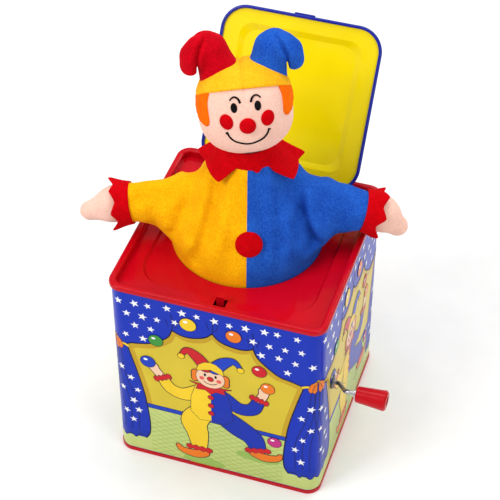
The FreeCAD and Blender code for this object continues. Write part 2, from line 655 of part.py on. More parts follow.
def latch():
    y, z, bore = "rocker_y", "rocker_z", "wire_radius + bore_play"
    shaft = rod_x("latch_rocker_shaft", ("rocker_start", "rocker_end"), y, z, "wire_radius")
    node("latch_rocker_shaft", shaft)
    x = ("hook_left", "hook_left + hook_wide")
    strip = block("hook_strip", x, ("hook_front", "hook_front + hook_sheet"), ("rocker_z", "hook_top"))
    lip_y, lip_z = ("hook_front", "hook_front + hook_lip"), ("hook_top - hook_sheet", "hook_top")
    lip = block("hook_lip", x, lip_y, lip_z)
    barrel = rod_x("hook_barrel", x, y, z, "barrel_radius")
    hole = rod_x("hook_bore", ("hook_left - 1", "hook_left + hook_wide + 1"), y, z, "wire_radius")
    node("latch_hook", cut("latch_hook", fuse("hook_whole", strip, lip, barrel), hole))
    x = ("trip_start", "trip_far")
    arm = block("trip_strip", x, ("rocker_y", "trip_end"), ("rocker_z - 0.8", "rocker_z + 0.7"))
    barrel = rod_x("trip_barrel", x, y, z, "barrel_radius")
    hole = rod_x("trip_bore", ("trip_start - 1", "trip_far + 1"), y, z, "wire_radius")
    node("latch_trip_arm", cut("latch_trip_arm", fuse("trip_whole", arm, barrel), hole))
    under, hangers = "shelf_top - tray_sheet", []
    hang_y = ("hanger_front", "hanger_back")
    for k, near in enumerate(("hanger_left", "hanger_right")):
        far = f"{near} + hanger_sheet"
        plate = block(f"hanger_plate_{k}", (near, far), hang_y, ("rocker_z - 3.5", under))
        flange_z = (f"{under} - 0.8", under)
        flange = block(f"hanger_flange_{k}", (f"{near} - 4", far), hang_y, flange_z)
        hole = rod_x(f"hanger_bore_{k}", (f"{near} - 1", f"{far} + 1"), y, z, bore)
        hangers.append(cut(f"hanger_{k}", fuse(f"hanger_whole_{k}", plate, flange), hole))
    node("latch_hangers", group("latch_hangers", *hangers))
    place = Placement(Vector(12, size(y), size(z)), ALONG_X)
    node("latch_spring", coil("latch_spring", 2.6, 0.35, 8, 6, place))
    rod_x_span = ("rod_start", "rod_start + rod_sheet")
    strap = block("rod_strap", rod_x_span, ("-46.2", "-39.2"), ("rod_foot", "rod_top - 5"))
    tip = block("rod_tip", rod_x_span, ("-44.2", "-41.2"), ("rod_top - 6", "rod_top"))
    window = block("rod_window", ("40", "50"), ("crank_y - 1.7", "crank_y + 1.7"), ("82.2", "89.4"))
    node("release_rod", cut("release_rod", fuse("rod_whole", strap, tip), window))


# ---------------------------------------------------------------- jumping clown


def clown_place():
    return Placement(
        Vector(size("clown_x"), size("clown_y"), 0), Rotation(Z_AXIS, size("clown_turn"))
    )


def clown_node(name, obj):
    """A sub-part built about the clown's own upright axis, facing -Y."""
    obj.recompute()
    for axis in "xyz":
        obj.setExpression(f"Placement.Base.{axis}", None)
    obj.Placement = clown_place().multiply(obj.Placement)
    return node(name, obj)


def spring():
    foot = "pan_sheet"
    plate = rod_z("seat_plate", "0", "0", (foot, f"{foot} + 1.2"), "seat_radius")
    parts = [plate]
    for k in range(3):
        tab = primitive("Box", f"seat_tab_{k}", Length="1.6", Width="6", Height="4.6")
        turn = Rotation(Z_AXIS, 120 * k)
        corner = turn.multVec(Vector(size("spring_radius + spring_wire + 0.3"), -3, 0))
        tab.Placement = Placement(Vector(corner.x, corner.y, size(foot)), turn)
        parts.append(tab)
    holes = [
        rod_z(f"seat_hole_{k}", 12 * math.cos(k * 2.0944), 12 * math.sin(k * 2.0944), ("0", "5"), "1.5")
        for k in range(3)
    ]
    clown_node("spring_seat", cut("spring_seat", fuse("seat_whole", *parts), fuse("seat_holes", *holes)))
    rivets = []
    for k in range(3):
        x, y = 12 * math.cos(k * 2.0944), 12 * math.sin(k * 2.0944)
        shank = rod_z(f"rivet_shank_{k}", x, y, (foot, f"{foot} + 1.2"), "1.5")
        head = rod_z(f"rivet_head_{k}", x, y, (f"{foot} + 1.2", f"{foot} + 2.2"), "2.8")
        rivets.append(fuse(f"rivet_{k}", shank, head))
    clown_node("seat_rivets", group("seat_rivets", *rivets))
    coil_place = Placement(Vector(0, 0, size("spring_foot")), Rotation())
    clown_node("main_spring", coil(
        "main_spring", size("spring_radius"), size("spring_wire"), size("spring_tall"),
        size("spring_turns"), coil_place,
    ))
    disc = rod_z("top_disc_plate", "0", "0", ("disc_z", "disc_z + disc_sheet"), "disc_radius")
    clown_node("spring_top_disc", disc)


def tunic():
    """Two half tubes of cloth round the spring, sewn together down the front and the back."""
    outer = [
        ("tunic_radius", "tunic_foot"), ("tunic_radius", "122"), ("mouth_tunic_radius", "143"),
        ("mouth_tunic_radius", "tunic_waist"), ("cone_foot_radius", "cone_foot"),
        ("cone_top_radius", "cone_top"), ("neck_radius + 3.5", "neck_z"),
    ]
    inner = [(f"{x} - cloth", y) for x, y in outer[:-1]] + [("neck_radius + 2.3", "neck_z - cloth")]
    for name, turn in (("tunic_left_half", 90), ("tunic_right_half", -90)):
        body = new_body(name)
        section = new_sketch(body, f"{name}_section", "XZ_Plane")
        outline(section, outer + inner[::-1])
        revolve(body, f"{name}_turned", section, 180)
        body.Placement = Placement(Vector(), Rotation(Z_AXIS, turn))
        clown_node(name, body)


def collar():
    """A felt ruff with pointed edges."""
    body = new_body("collar")
    sketch = new_sketch(body, "collar_sketch", offset="collar_z")
    points = []
    for k in range(2 * SIZES["collar_points"]):
        angle = math.pi * k / SIZES["collar_points"]
        reach = "collar_dip" if k % 2 else "collar_tip"
        points.append((f"{reach} * {math.sin(angle):.5f}", f"-{reach} * {math.cos(angle):.5f}"))
    outline(sketch, points)
    circle(sketch, "neck_radius + 1.5")
    pad(body, "collar_felt", sketch, "collar_sheet")
    clown_node("collar", body)


def ellipsoid(name, grow):
    """The head's form, grown by a number of millimetres."""
    return primitive(
        "Ellipsoid", name, Radius1=f"head_tall + {grow}", Radius2=f"head_wide + {grow}",
        Radius3=f"head_deep + {grow}",
    )


def head():
    """The stuffed head, the hat, and the felt and thread on the face, built about the head's
    middle with the face towards -Y, then tilted back."""
    place = Placement(
        Vector(size("head_x"), 0, size("head_z")),
        Rotation(Z_AXIS, size("head_turn")) * Rotation(Y_AXIS, -size("head_roll"))
        * Rotation(X_AXIS, -size("head_tilt")),
    )

    def head_node(name, obj):
        obj.Placement = place.multiply(obj.Placement)
        return clown_node(name, obj)

    far = 80
    above = block("above_hat", (-far, far), (-far, far), ("hat_plane", far))
    below = block("below_hat", (-far, far), (-far, far), (-far, "hat_plane + 0.1"))
    skull = cut("skull", ellipsoid("head_form", 0), above)
    neck = primitive(
        "Cylinder", "neck_stub", Radius="neck_radius", Height="head_z - neck_z + 4",
        turn=place.Rotation.inverted() * Rotation(X_AXIS, 180),
    )
    neck = cut("neck_cut", neck, block("neck_top", (-far, far), (-far, far), ("0", far)))
    head_node("head", fuse("head_whole", skull, neck))
    crown_form = ellipsoid("crown_form", 1.2)
    head_node("hat_crown", cut("hat_crown", crown_form, below))
    horn_spots = [(15.5, 22, 11.5), (22.5, 36.5, 9), (31.5, 26.5, 6.3)]
    horn = [Part.makeSphere(r, Vector(x, 0, z)) for x, z, r in horn_spots]
    for (x0, z0, r0), (x1, z1, r1) in zip(horn_spots, horn_spots[1:]):
        way = Vector(x1 - x0, 0, z1 - z0)
        slimmer = 0.97  # so that the cone's side meets the balls at a clean angle
        horn.append(Part.makeCone(r0 * slimmer, r1 * slimmer, way.Length, Vector(x0, 0, z0), way))
    clear = ellipsoid("horn_clear", 1.5)
    clear.recompute()
    horn = horn[0].multiFuse(horn[1:]).cut(clear.Shape)
    head_node("hat_horn_right", feature("hat_horn_right", horn))
    head_node("hat_horn_left", feature("hat_horn_left", horn.mirror(Vector(), X_AXIS)))

    def felt(name, cutter, low, high):
        """A patch of the head's surface between two heights above it, inside the cutter."""
        skin = cut(f"{name}_skin", ellipsoid(f"{name}_over", high), ellipsoid(f"{name}_under", low))
        return common(f"{name}_patch", skin, cutter)

    def peg(name, x, z, radius, wide=1.0):
        """A cylinder that points at the face, for cutting a round patch."""
        shape = Part.makeCylinder(radius, 40, Vector(), Vector(0, -1, 0))
        stretch = FreeCAD.Matrix()
        stretch.scale(wide, 1, 1)
        shape = shape.transformGeometry(stretch)
        shape.translate(Vector(x, 0, z))
        return feature(name, shape)

    low, thin, thick = 0.2, 0.9, 1.4
    for name, side in (("hair_left", -1), ("hair_right", 1)):
        inner, outer = sorted((side * 20, side * 40))
        side_box = block(f"{name}_box", (inner, outer), (-20, 4), (-12, "hat_plane - 0.2"))
        head_node(name, felt(name, side_box, low, 1.2))
    head_node("nose", felt("nose", peg("nose_peg", 0, -4.5, 4.9), low, 3.2))
    cheeks, eyes = [], []
    for k, side in enumerate((-1, 1)):
        cheek = peg(f"cheek_peg_{k}", side * 12.1, -1.2, 4.6, 0.85)
        cheeks.append(felt(f"cheek_{k}", cheek, low, thick))
        eye = peg(f"eye_peg_{k}", side * 7, 7.1, 2.8, 0.62)
        eyes.append(felt(f"eye_{k}", eye, low, thin))
    head_node("cheeks", group("cheeks", *cheeks))
    head_node("eyes", group("eyes", *eyes))
    smile = Part.makeCylinder(13.5, 40, Vector(0, 0, -4.2), Vector(0, -1, 0))
    smile = smile.cut(Part.makeCylinder(12.8, 40, Vector(0, 0, -4.2), Vector(0, -1, 0)))
    smile = smile.common(Part.makeBox(80, 80, 40, Vector(-40, -60, -48.5)))
    head_node("smile_thread", felt("smile", feature("smile_cutter", smile), low, thin))


def arm(name, side):
    """A sleeve, a cuff and a mitten hand, built level from the shoulder's pivot, then drooped."""
    pivot = Vector(side * size("arm_pivot"), 0, size("arm_z"))
    droop = Rotation(Y_AXIS, side * size(f"droop_{name}"))

    def arm_node(part, obj):
        obj.recompute()
        for axis in "xyz":
            obj.setExpression(f"Placement.Base.{axis}", None)
        obj.Placement = Placement(pivot, droop).multiply(obj.Placement)
        clown_node(f"{part}_{name}", obj)

    def along(near, far):
        """The two formulas measured from the pivot, in the order of +X."""
        near, far = f"({near} - arm_pivot)", f"({far} - arm_pivot)"
        return (near, far) if side > 0 else (f"-{far}", f"-{near}")

    def radii(near, far):
        return (near, far) if side > 0 else (far, near)

    sleeve_radii = radii("sleeve_root", "sleeve_small")
    arm_node("sleeve", cone_x(f"sleeve_cone_{name}", along("arm_root", "sleeve_end"), 0, 0, sleeve_radii))
    cuff_radii = radii("cuff_radius", "cuff_radius - 1")
    outside = cone_x(f"cuff_cone_{name}", along("sleeve_end + 0.3", "cuff_end"), 0, 0, cuff_radii)
    inside = rod_x(f"cuff_bore_{name}", along("sleeve_end - 1", "cuff_end + 1"), 0, 0, "cuff_bore")
    arm_node("cuff", cut(f"cuff_ring_{name}", outside, inside))
    arm_node("hand", primitive(
        "Ellipsoid", f"hand_form_{name}", (f"{side} * (hand_reach - arm_pivot)", 0, 0),
        Radius1="hand_tall", Radius2="hand_long", Radius3="hand_thick",
    ))


def clown():
    spring()
    tunic()
    collar()
    head()
    arm("left", -1)
    arm("right", 1)
    facing = Rotation(X_AXIS, 90 - size("button_tilt"))
    button = primitive(
        "Cylinder", "button_disc", ("button_x", "-button_out", "button_z"), facing,
        Radius="button_radius", Height="button_sheet",
    )
    clown_node("tummy_button", button)


def main():
    for make in (
        box_body, base_pan, top_tray, lid, hinge, crank_wire, crank_furniture,
        movement_frame, drum, comb, latch, clown,
    ):
        make()
        doc.recompute()
    failed = [o.Name for o in doc.Objects if {"Invalid", "Error"} & set(o.State)]
    if failed:
        raise RuntimeError(f"failed: {failed}")
    os.makedirs("parts", exist_ok=True)
    for name, obj in nodes.items():
        shape = obj.Shape
        if shape.isNull() or not shape.isValid() or not shape.Solids:
            raise RuntimeError(f"{name} has no valid solid")
        shape.exportStep(f"parts/{name}.step")
        box = shape.BoundBox
        ends = ((box.XMin, box.XMax), (box.YMin, box.YMax), (box.ZMin, box.ZMax))
        spans = ", ".join(f"{low:.1f} to {high:.1f}" for low, high in ends)
        print(f"{name}: {len(shape.Solids)} solids, {shape.Volume:.0f} mm3, {spans}")


main()
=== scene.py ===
import json
from math import atan2, copysign, cos, dist, exp, hypot, pi, radians, sin

import bmesh
import bpy
import numpy as np
from mathutils import Matrix, Quaternion, Vector, noise


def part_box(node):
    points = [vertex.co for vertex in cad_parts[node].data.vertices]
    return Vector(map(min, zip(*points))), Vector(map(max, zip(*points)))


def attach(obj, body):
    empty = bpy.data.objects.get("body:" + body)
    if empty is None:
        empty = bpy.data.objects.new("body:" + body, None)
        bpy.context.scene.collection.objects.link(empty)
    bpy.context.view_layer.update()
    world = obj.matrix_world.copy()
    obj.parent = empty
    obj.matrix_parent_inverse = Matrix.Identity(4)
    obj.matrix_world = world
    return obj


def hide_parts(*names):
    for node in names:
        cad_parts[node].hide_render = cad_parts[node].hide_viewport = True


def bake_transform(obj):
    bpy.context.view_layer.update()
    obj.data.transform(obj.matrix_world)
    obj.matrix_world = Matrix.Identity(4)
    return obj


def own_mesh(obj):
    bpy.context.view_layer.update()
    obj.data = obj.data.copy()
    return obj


# A tin jack in the box: printed walls, a red tray, a yellow lid and a cloth clown on a spring.
# Lengths are millimetres unless a name ends in _M; the scene itself is in metres.

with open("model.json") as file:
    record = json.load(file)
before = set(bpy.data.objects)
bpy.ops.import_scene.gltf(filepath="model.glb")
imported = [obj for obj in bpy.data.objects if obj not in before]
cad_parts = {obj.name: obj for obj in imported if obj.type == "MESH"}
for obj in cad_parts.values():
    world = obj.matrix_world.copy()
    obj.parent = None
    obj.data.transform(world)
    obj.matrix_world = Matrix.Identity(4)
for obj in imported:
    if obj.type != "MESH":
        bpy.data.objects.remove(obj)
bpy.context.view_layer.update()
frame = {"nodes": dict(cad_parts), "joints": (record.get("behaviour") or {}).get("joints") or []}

MM = 0.001
ROW = Matrix.Scale(MM, 4)
JOINTS = {joint["name"]: joint for joint in frame["joints"]}


def span(node):
    """A CAD node's lowest and highest corners in millimetres."""
    low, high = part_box(node)
    return low / MM, high / MM


def clamp(value):
    return min(max(value, 0), 1)


def turns(count):
    """Evenly spaced angles round a circle."""
    return [2 * pi * k / count for k in range(count)]


def direction(tilt, turn):
    """The unit vector at an angle down from +Z and an angle round from the front."""
    return Vector((sin(tilt) * sin(turn), -sin(tilt) * cos(turn), cos(tilt)))


def turned(axis, degrees):
    return Matrix.Rotation(radians(degrees), 4, axis)


def new_object(name, data, place=None, facing=None):
    """An object in the scene, turned so that its -Z looks along facing."""
    obj = bpy.data.objects.new(name, data)
    if facing:
        obj.location = place
        obj.rotation_mode = "QUATERNION"
        obj.rotation_quaternion = facing.to_track_quat("-Z", "Y")
    bpy.context.scene.collection.objects.link(obj)
    return obj


# ---- the clown's own frame

FORWARD = Vector(JOINTS["left_arm_fold"]["axis"])
RIGHT = Vector((-FORWARD.y, FORWARD.x, 0))
DISC_LOW, DISC_HIGH = span("spring_top_disc")
CLOWN_X, CLOWN_Y = ((DISC_LOW + DISC_HIGH) / 2).xy
CLOWN = Matrix((
    (RIGHT.x, -FORWARD.x, 0, CLOWN_X),
    (RIGHT.y, -FORWARD.y, 0, CLOWN_Y),
    (0, 0, 1, 0),
    (0, 0, 0, 1),
))
CLOWN_M = ROW @ CLOWN

HEAD_CENTRE = Vector((-1.6, 0, 257.5))
HEAD_TURN, HEAD_ROLL, HEAD_TILT = 6.5, 4, 20
HEAD_SIZE = Vector((28.3, 27, 28.5))
HEAD_POWER = 2.3
HEAD = (
    CLOWN_M @ Matrix.Translation(HEAD_CENTRE)
    @ turned("Z", HEAD_TURN) @ turned("Y", -HEAD_ROLL) @ turned("X", -HEAD_TILT)
)


# ---- camera, light and floor


def make_camera():
    azimuth, elevation, roll = radians(18.126), radians(43.407), radians(-0.114)
    distance, target = 1073.9, Vector((0.8, 0, 142))
    back = Vector((
        sin(azimuth) * cos(elevation),
        -cos(azimuth) * cos(elevation),
        sin(elevation),
    ))
    camera = new_object("camera", bpy.data.cameras.new("camera"), (target + back * distance) * MM, -back)
    camera.rotation_quaternion = camera.rotation_quaternion @ Quaternion((0, 0, 1), roll)
    camera.data.sensor_width = 36
    camera.data.lens = 119.8
    bpy.context.scene.camera = camera


LIGHTS = (  # name, place in metres, width, height, watts
    ("key", (-0.75, -0.75, 1.15), 0.7, 0.7, 11), ("fill", (0.95, -0.5, 0.75), 0.6, 0.8, 3.5),
    ("top", (0.0, 0.25, 1.3), 0.9, 0.5, 5), ("rim", (0.3, 1.1, 0.9), 0.9, 0.5, 5),
)
LIGHT_AIM = Vector((0, 0, 0.13))
FLOOR_REACH = 6


def make_studio():
    world = bpy.data.worlds.new("studio")
    bpy.context.scene.world = world
    world.use_nodes = True
    background = world.node_tree.nodes["Background"]
    background.inputs["Color"].default_value = (1, 1, 1, 1)
    background.inputs["Strength"].default_value = 0.62
    for name, place, wide, tall, watts in LIGHTS:
        light = bpy.data.lights.new(name, "AREA")
        light.shape = "RECTANGLE"
        light.size, light.size_y, light.energy = wide, tall, watts
        new_object(name, light, place, LIGHT_AIM - Vector(place))
    mesh = bpy.data.meshes.new("floor")
    corners = [(x * FLOOR_REACH, y * FLOOR_REACH, 0) for x, y in ((-1, -1), (1, -1), (1, 1), (-1, 1))]
    mesh.from_pydata(corners, [], [(0, 1, 2, 3)])
    floor = new_object("floor", mesh)
    floor.data.materials.append(plain("floor_paper", (244, 244, 243), 0.9, 0.02, 25))


# ---- materials


def rgb(red, green, blue):
    """A display colour, 0 to 255 a channel, as a linear shader colour."""
    def linear(value):
        value /= 255
        return value / 12.92 if value <= 0.04045 else ((value + 0.055) / 1.055) ** 2.4
    return (linear(red), linear(green), linear(blue), 1)


class Paint:
    """A material under construction round one Principled shader."""

    def __init__(self, name, colour, roughness, **sockets):
        self.material = bpy.data.materials.new(name)
        self.material.use_nodes = True
        self.tree = self.material.node_tree
        self.shader = self.tree.nodes["Principled BSDF"]
        self.shader.inputs["Base Color"].default_value = rgb(*colour)
        self.shader.inputs["Roughness"].default_value = roughness
        for name, value in sockets.items():
            self.shader.inputs[name.replace("_", " ")].default_value = value
        self.object = self.node("TexCoord").outputs["Object"]
        self.last_bump = None

    def node(self, kind, values=None, **settings):
        made = self.tree.nodes.new(f"ShaderNode{kind}")
        for name, value in settings.items():
            setattr(made, name, value)
        for key, value in (values or {}).items():
            if isinstance(value, bpy.types.NodeSocket):
                self.tree.links.new(value, made.inputs[key])
            else:
                made.inputs[key].default_value = value
        return made

    def set(self, socket, value):
        self.tree.links.new(value, self.shader.inputs[socket])

    def math(self, operation, a, b=0.0):
        return self.node("Math", {0: a, 1: b}, operation=operation).outputs[0]

    def vector(self, operation, a, b=(0, 0, 0), result="Vector"):
        return self.node("VectorMath", {0: a, 1: b}, operation=operation).outputs[result]

    def mapped(self, stretch=(1, 1, 1), turn=(0, 0, 0)):
        return self.node(
            "Mapping", {"Vector": self.object, "Scale": stretch, "Rotation": turn}
        ).outputs[0]

    def noise(self, grain, detail=3, rough=0.55, stretch=None, turn=(0, 0, 0)):
        """Noise whose features are about grain millimetres across."""
        where = self.mapped(stretch, turn) if stretch else self.object
        return self.node(
            "TexNoise",
            {"Vector": where, "Scale": 1 / (grain * MM), "Detail": detail, "Roughness": rough},
        ).outputs["Fac"]

    def ramp(self, value, low, high):
        """0 below low and 1 above high."""
        return self.node("MapRange", {"Value": value, "From Min": low, "From Max": high}).outputs[0]

    def mix(self, share, first, second):
        return self.node("Mix", {0: share, 6: first, 7: second}, data_type="RGBA").outputs[2]

    def tint(self, share, first, second):
        """Base colour from first to second as share goes from 0 to 1."""
        self.set("Base Color", self.mix(share, rgb(*first), rgb(*second)))

    def vary(self, value, low, high):
        """Roughness from low to high as value goes from 0 to 1."""
        self.set("Roughness", self.node(
            "MapRange", {"Value": value, "To Min": low, "To Max": high}
        ).outputs[0])

    def sum(self, first, share, second, other_share):
        """Two values added, each times its share."""
        return self.math("ADD", self.math("MULTIPLY", first, share), self.math("MULTIPLY", second, other_share))

    def waver(self):
        """The slow waves of thin sheet."""
        self.bump(self.noise(38, 1), 0.10, 0.5)

    def bump(self, height, strength, depth):
        values = {"Height": height, "Strength": strength, "Distance": depth * MM}
        if self.last_bump:
            values["Normal"] = self.last_bump
        self.last_bump = self.node("Bump", values).outputs[0]
        self.set("Normal", self.last_bump)


def darker(colour, share):
    return tuple(channel * share for channel in colour)


def lighter(colour, share):
    return tuple(channel + (255 - channel) * share for channel in colour)


def plain(name, colour, roughness, depth, grain, **sockets):
    """A mottled even surface, such as paper, card or moulded plastic."""
    paint = Paint(name, colour, roughness, **sockets)
    speck = paint.noise(grain, 4)
    paint.tint(speck, darker(colour, 0.96), colour)
    paint.bump(speck, 0.3, depth)
    return paint.material


def coated(name, colour, roughness, specular, weight, coat_roughness, index):
    """A colour under a clear coat."""
    return Paint(
        name, colour, roughness, Specular_IOR_Level=specular, Coat_Weight=weight,
        Coat_Roughness=coat_roughness, Coat_IOR=index,
    )


VARNISH = (0.32, 0.08, 0.3, 0.07, 1.3)


def enamel(name, colour, roughness):
    """Stoved enamel on tinplate: a little wavy, with a fine skin."""
    paint = coated(name, colour, roughness, 0.08, 0.35, 0.06, 1.32)
    paint.tint(paint.ramp(paint.noise(45, 2), 0.35, 0.7), darker(colour, 0.93), colour)
    paint.vary(paint.noise(9, 5), roughness * 0.8, roughness * 1.35)
    paint.waver()
    paint.bump(paint.noise(0.8, 2), 0.05, 0.05)
    return paint.material


def ink(name, colour):
    """Litho ink under varnish, with the faint screen of dots that printing leaves."""
    paint = coated(name, colour, *VARNISH)
    dots = paint.node(
        "TexVoronoi", {"Vector": paint.object, "Scale": 1 / (0.55 * MM), "Randomness": 0.15}
    ).outputs["Distance"]
    tone = paint.math("ADD", paint.math("MULTIPLY", dots, 0.35), paint.ramp(paint.noise(30, 3), 0.2, 1.4))
    paint.tint(tone, colour, darker(colour, 0.86))
    paint.waver()
    return paint.material


def metal(name, colour, roughness, stretch=(1, 1, 1)):
    """Bare metal with drawn or rolled lines along the short side of stretch."""
    paint = Paint(name, colour, roughness, Metallic=1.0)
    lines = paint.noise(0.5, 4, 0.6, stretch)
    paint.tint(paint.ramp(paint.noise(14, 4), 0.3, 0.75), darker(colour, 0.8), colour)
    paint.vary(lines, roughness * 0.75, roughness * 1.5)
    paint.bump(lines, 0.3, 0.03)
    return paint.material


def velour(name, colour, shade):
    """Short brushed pile on a knit: mottled, matt, and paler where it catches the light."""
    paint = Paint(
        name, colour, 0.92, Sheen_Weight=0.22, Sheen_Roughness=0.45, Specular_IOR_Level=0.06,
        Sheen_Tint=rgb(*lighter(colour, 0.15)),
    )
    knit = paint.noise(1.05, 3, 0.6, (1, 1, 0.7))
    lay = paint.noise(13, 3)
    paint.tint(paint.sum(paint.ramp(knit, 0.36, 0.64), 0.6, paint.ramp(lay, 0.3, 0.7), 0.45), shade, colour)
    paint.bump(knit, 0.4, 0.45)
    paint.bump(paint.noise(0.35, 2), 0.35, 0.2)
    return paint.material


def felt(name, colour, shade):
    """Pressed wool: crossing fibres, no weave, a soft rough surface."""
    paint = Paint(
        name, colour, 0.96, Sheen_Weight=0.15, Sheen_Roughness=0.5, Specular_IOR_Level=0.05,
        Sheen_Tint=rgb(*lighter(colour, 0.1)),
    )
    fibres = paint.math(
        "MAXIMUM", paint.noise(0.5, 3, 0.6, (1, 0.22, 0.6), (0.3, 0.5, 0.7)),
        paint.noise(0.5, 3, 0.6, (0.3, 1, 0.7), (0.9, -0.4, 0.2)),
    )
    lump = paint.noise(3.2, 3)
    paint.tint(paint.ramp(paint.sum(fibres, 0.7, lump, 0.45), 0.4, 0.85), shade, colour)
    paint.bump(fibres, 0.5, 0.35)
    paint.bump(lump, 0.25, 0.5)
    return paint.material


def lid_paint(colour, outside_colour):
    """Yellow inside; the rolled edge and the outside are blue."""
    paint = coated("lid_enamel", colour, 0.24, 0.12, 0.5, 0.05, 1.36)
    hinge = Vector(JOINTS["lid_hinge"]["pos_m"])
    opened = radians(JOINTS["lid_hinge"]["range_deg"][1])
    shut = Matrix.Rotation(opened, 3, "X")
    place = paint.node(
        "Mapping",
        {"Vector": paint.object, "Rotation": (opened, 0, 0), "Location": hinge - shut @ hinge},
    ).outputs[0]
    corner, half = 17.25 * MM, 54.9 * MM  # of the lid's outline
    edge = half - corner
    folded = paint.vector("ABSOLUTE", paint.vector("MULTIPLY", place, (1, 1, 0)))
    beyond = paint.vector("SUBTRACT", folded, (edge, edge, 0))
    outer = paint.vector("LENGTH", paint.vector("MAXIMUM", beyond), result="Value")
    parts = paint.node("SeparateXYZ", {0: beyond}).outputs
    inner = paint.math("MINIMUM", paint.math("MAXIMUM", parts[0], parts[1]), 0.0)
    distance = paint.math("SUBTRACT", paint.math("ADD", outer, inner), corner)
    rolled = paint.ramp(distance, -2.5 * MM, -2.2 * MM)
    outward = shut.transposed() @ Vector((0, 0, 1))
    normal = paint.node("TexCoord").outputs["Normal"]
    outside = paint.ramp(paint.vector("DOT_PRODUCT", normal, outward, "Value"), 0.15, 0.2)
    blue = paint.math("MAXIMUM", rolled, outside)
    yellow = paint.mix(paint.ramp(paint.noise(40, 2), 0.3, 0.7), rgb(*darker(colour, 0.95)), rgb(*colour))
    paint.set("Base Color", paint.mix(blue, yellow, rgb(*outside_colour)))
    paint.bump(paint.noise(42, 1), 0.12, 0.5)
    paint.bump(paint.noise(0.9, 2), 0.04, 0.05)
    return paint.material


def tin_paint(colour):
    """The walls: blue outside under the print, bare tin inside."""
    paint = coated("wall_tin", colour, *VARNISH)
    normal = paint.node("TexCoord").outputs["Normal"]
    level = paint.vector("MULTIPLY", paint.object, (1, 1, 0))
    outside = paint.ramp(paint.vector("DOT_PRODUCT", normal, level, "Value"), 0.0, 0.001)
    tin = paint.mix(paint.noise(20, 4), rgb(150, 152, 155), rgb(190, 190, 188))
    paint.set("Base Color", paint.mix(outside, tin, rgb(*colour)))
    paint.set("Metallic", paint.math("SUBTRACT", 1.0, outside))
    paint.waver()
    return paint.material


RED, BLUE, DEEP_BLUE = (192, 2, 22), (6, 44, 172), (14, 30, 142)
LEMON, GOLD, ROYAL = (236, 212, 0), (250, 187, 10), (38, 96, 194)

FINISHES = (
    ("red_enamel", enamel, RED, 0.22),
    ("bright_steel", metal, (196, 196, 194), 0.26, (0.15, 1, 1)),
    ("spring_steel", metal, (150, 150, 152), 0.34, (1, 1, 0.3)),
    ("brass", metal, (214, 178, 96), 0.3, (0.3, 1, 1)),
    ("dark_plastic", plain, (58, 58, 62), 0.45, 0.05, 1.2),
    ("zinc", metal, (188, 190, 194), 0.42),
    ("card", plain, (176, 150, 112), 0.9, 0.1, 1.5),
    ("yellow_velour", velour, GOLD, (226, 150, 0)),
    ("blue_velour", velour, ROYAL, (18, 62, 158)),
    ("red_velour", velour, (208, 0, 24), (160, 0, 14)),
    ("hat_cloth", velour, (252, 190, 36), (240, 160, 12)),
    ("face_cloth", velour, (244, 202, 184), (230, 180, 162)),
    ("red_felt", felt, (210, 2, 14), (168, 0, 8)),
    ("orange_felt", felt, (250, 116, 10), (232, 90, 0)),
    ("black_thread", felt, (26, 24, 26), (8, 8, 10)),
)
MATERIALS = {name: make(name, *values) for name, make, *values in FINISHES}
MATERIALS["yellow_enamel"] = lid_paint(LEMON, DEEP_BLUE)
MATERIALS["printed_tin"] = tin_paint(BLUE)
MATERIALS["red_wood"] = enamel("red_lacquer", (190, 2, 18), 0.3)


# ---- mesh making


def add_piece(name, points, faces, slot, place, body, nodes=(), padded=None, material=None):
    """A mesh object from points in the space of place, on a body, with the finish of a slot."""
    mesh = bpy.data.meshes.new(name)
    mesh.from_pydata([place @ Vector(point) for point in points], [], [tuple(face) for face in faces])
    mesh.validate()
    mesh.materials.append(material or MATERIALS[slot])
    mesh.polygons.foreach_set("use_smooth", [True] * len(mesh.polygons))
    obj = new_object(name, mesh)
    if body:
        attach(obj, body)
    if nodes:
        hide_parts(*nodes)
    return obj


def thicken(obj, thick):
    """Gives a sheet its thickness, with a soft edge."""
    solid = obj.modifiers.new("thickness", "SOLIDIFY")
    solid.thickness, solid.offset = thick * MM, 0
    soft = obj.modifiers.new("soft_edge", "SUBSURF")
    soft.levels = soft.render_levels = 1
    graph = bpy.context.evaluated_depsgraph_get()
    mesh = bpy.data.meshes.new_from_object(obj.evaluated_get(graph))
    obj.modifiers.clear()
    obj.data = mesh


def tube_faces(rows, columns, flip=False):
    """Quads between rings of points stored ring by ring; flip turns them over."""
    quads = [
        (r * columns + c, r * columns + (c + 1) % columns,
         (r + 1) * columns + (c + 1) % columns, (r + 1) * columns + c)
        for r in range(rows - 1) for c in range(columns)
    ]
    return [quad[::-1] for quad in quads] if flip else quads


def joined(shapes):
    """Points and faces of several (points, faces) shapes as one."""
    points, faces = [], []
    for some_points, some_faces in shapes:
        first = len(points)
        points += [tuple(point) for point in some_points]
        faces += [tuple(first + index for index in face) for face in some_faces]
    return points, faces


def smooth_curve(points, steps=6, closed=False):
    """A Catmull-Rom curve through points."""
    points = [np.array(point, float) for point in points]
    count = len(points)
    out = []
    for k in range(count if closed else count - 1):
        near = [(k + i) % count if closed else min(max(k + i, 0), count - 1) for i in (-1, 0, 1, 2)]
        a, b, c, d = (points[i] for i in near)
        for step in range(steps):
            t = step / steps
            out.append(0.5 * (
                2 * b + (c - a) * t + (2 * a - 5 * b + 4 * c - d) * t * t
                + (3 * b - a - 3 * c + d) * t ** 3
            ))
    if not closed:
        out.append(points[-1])
    return out


# ---- soft forms from distance fields


def sample(low, high, step):
    """Coordinates of a regular grid of points."""
    axes = [np.arange(a, b + step, step) for a, b in zip(low, high)]
    return np.meshgrid(*axes, indexing="ij")


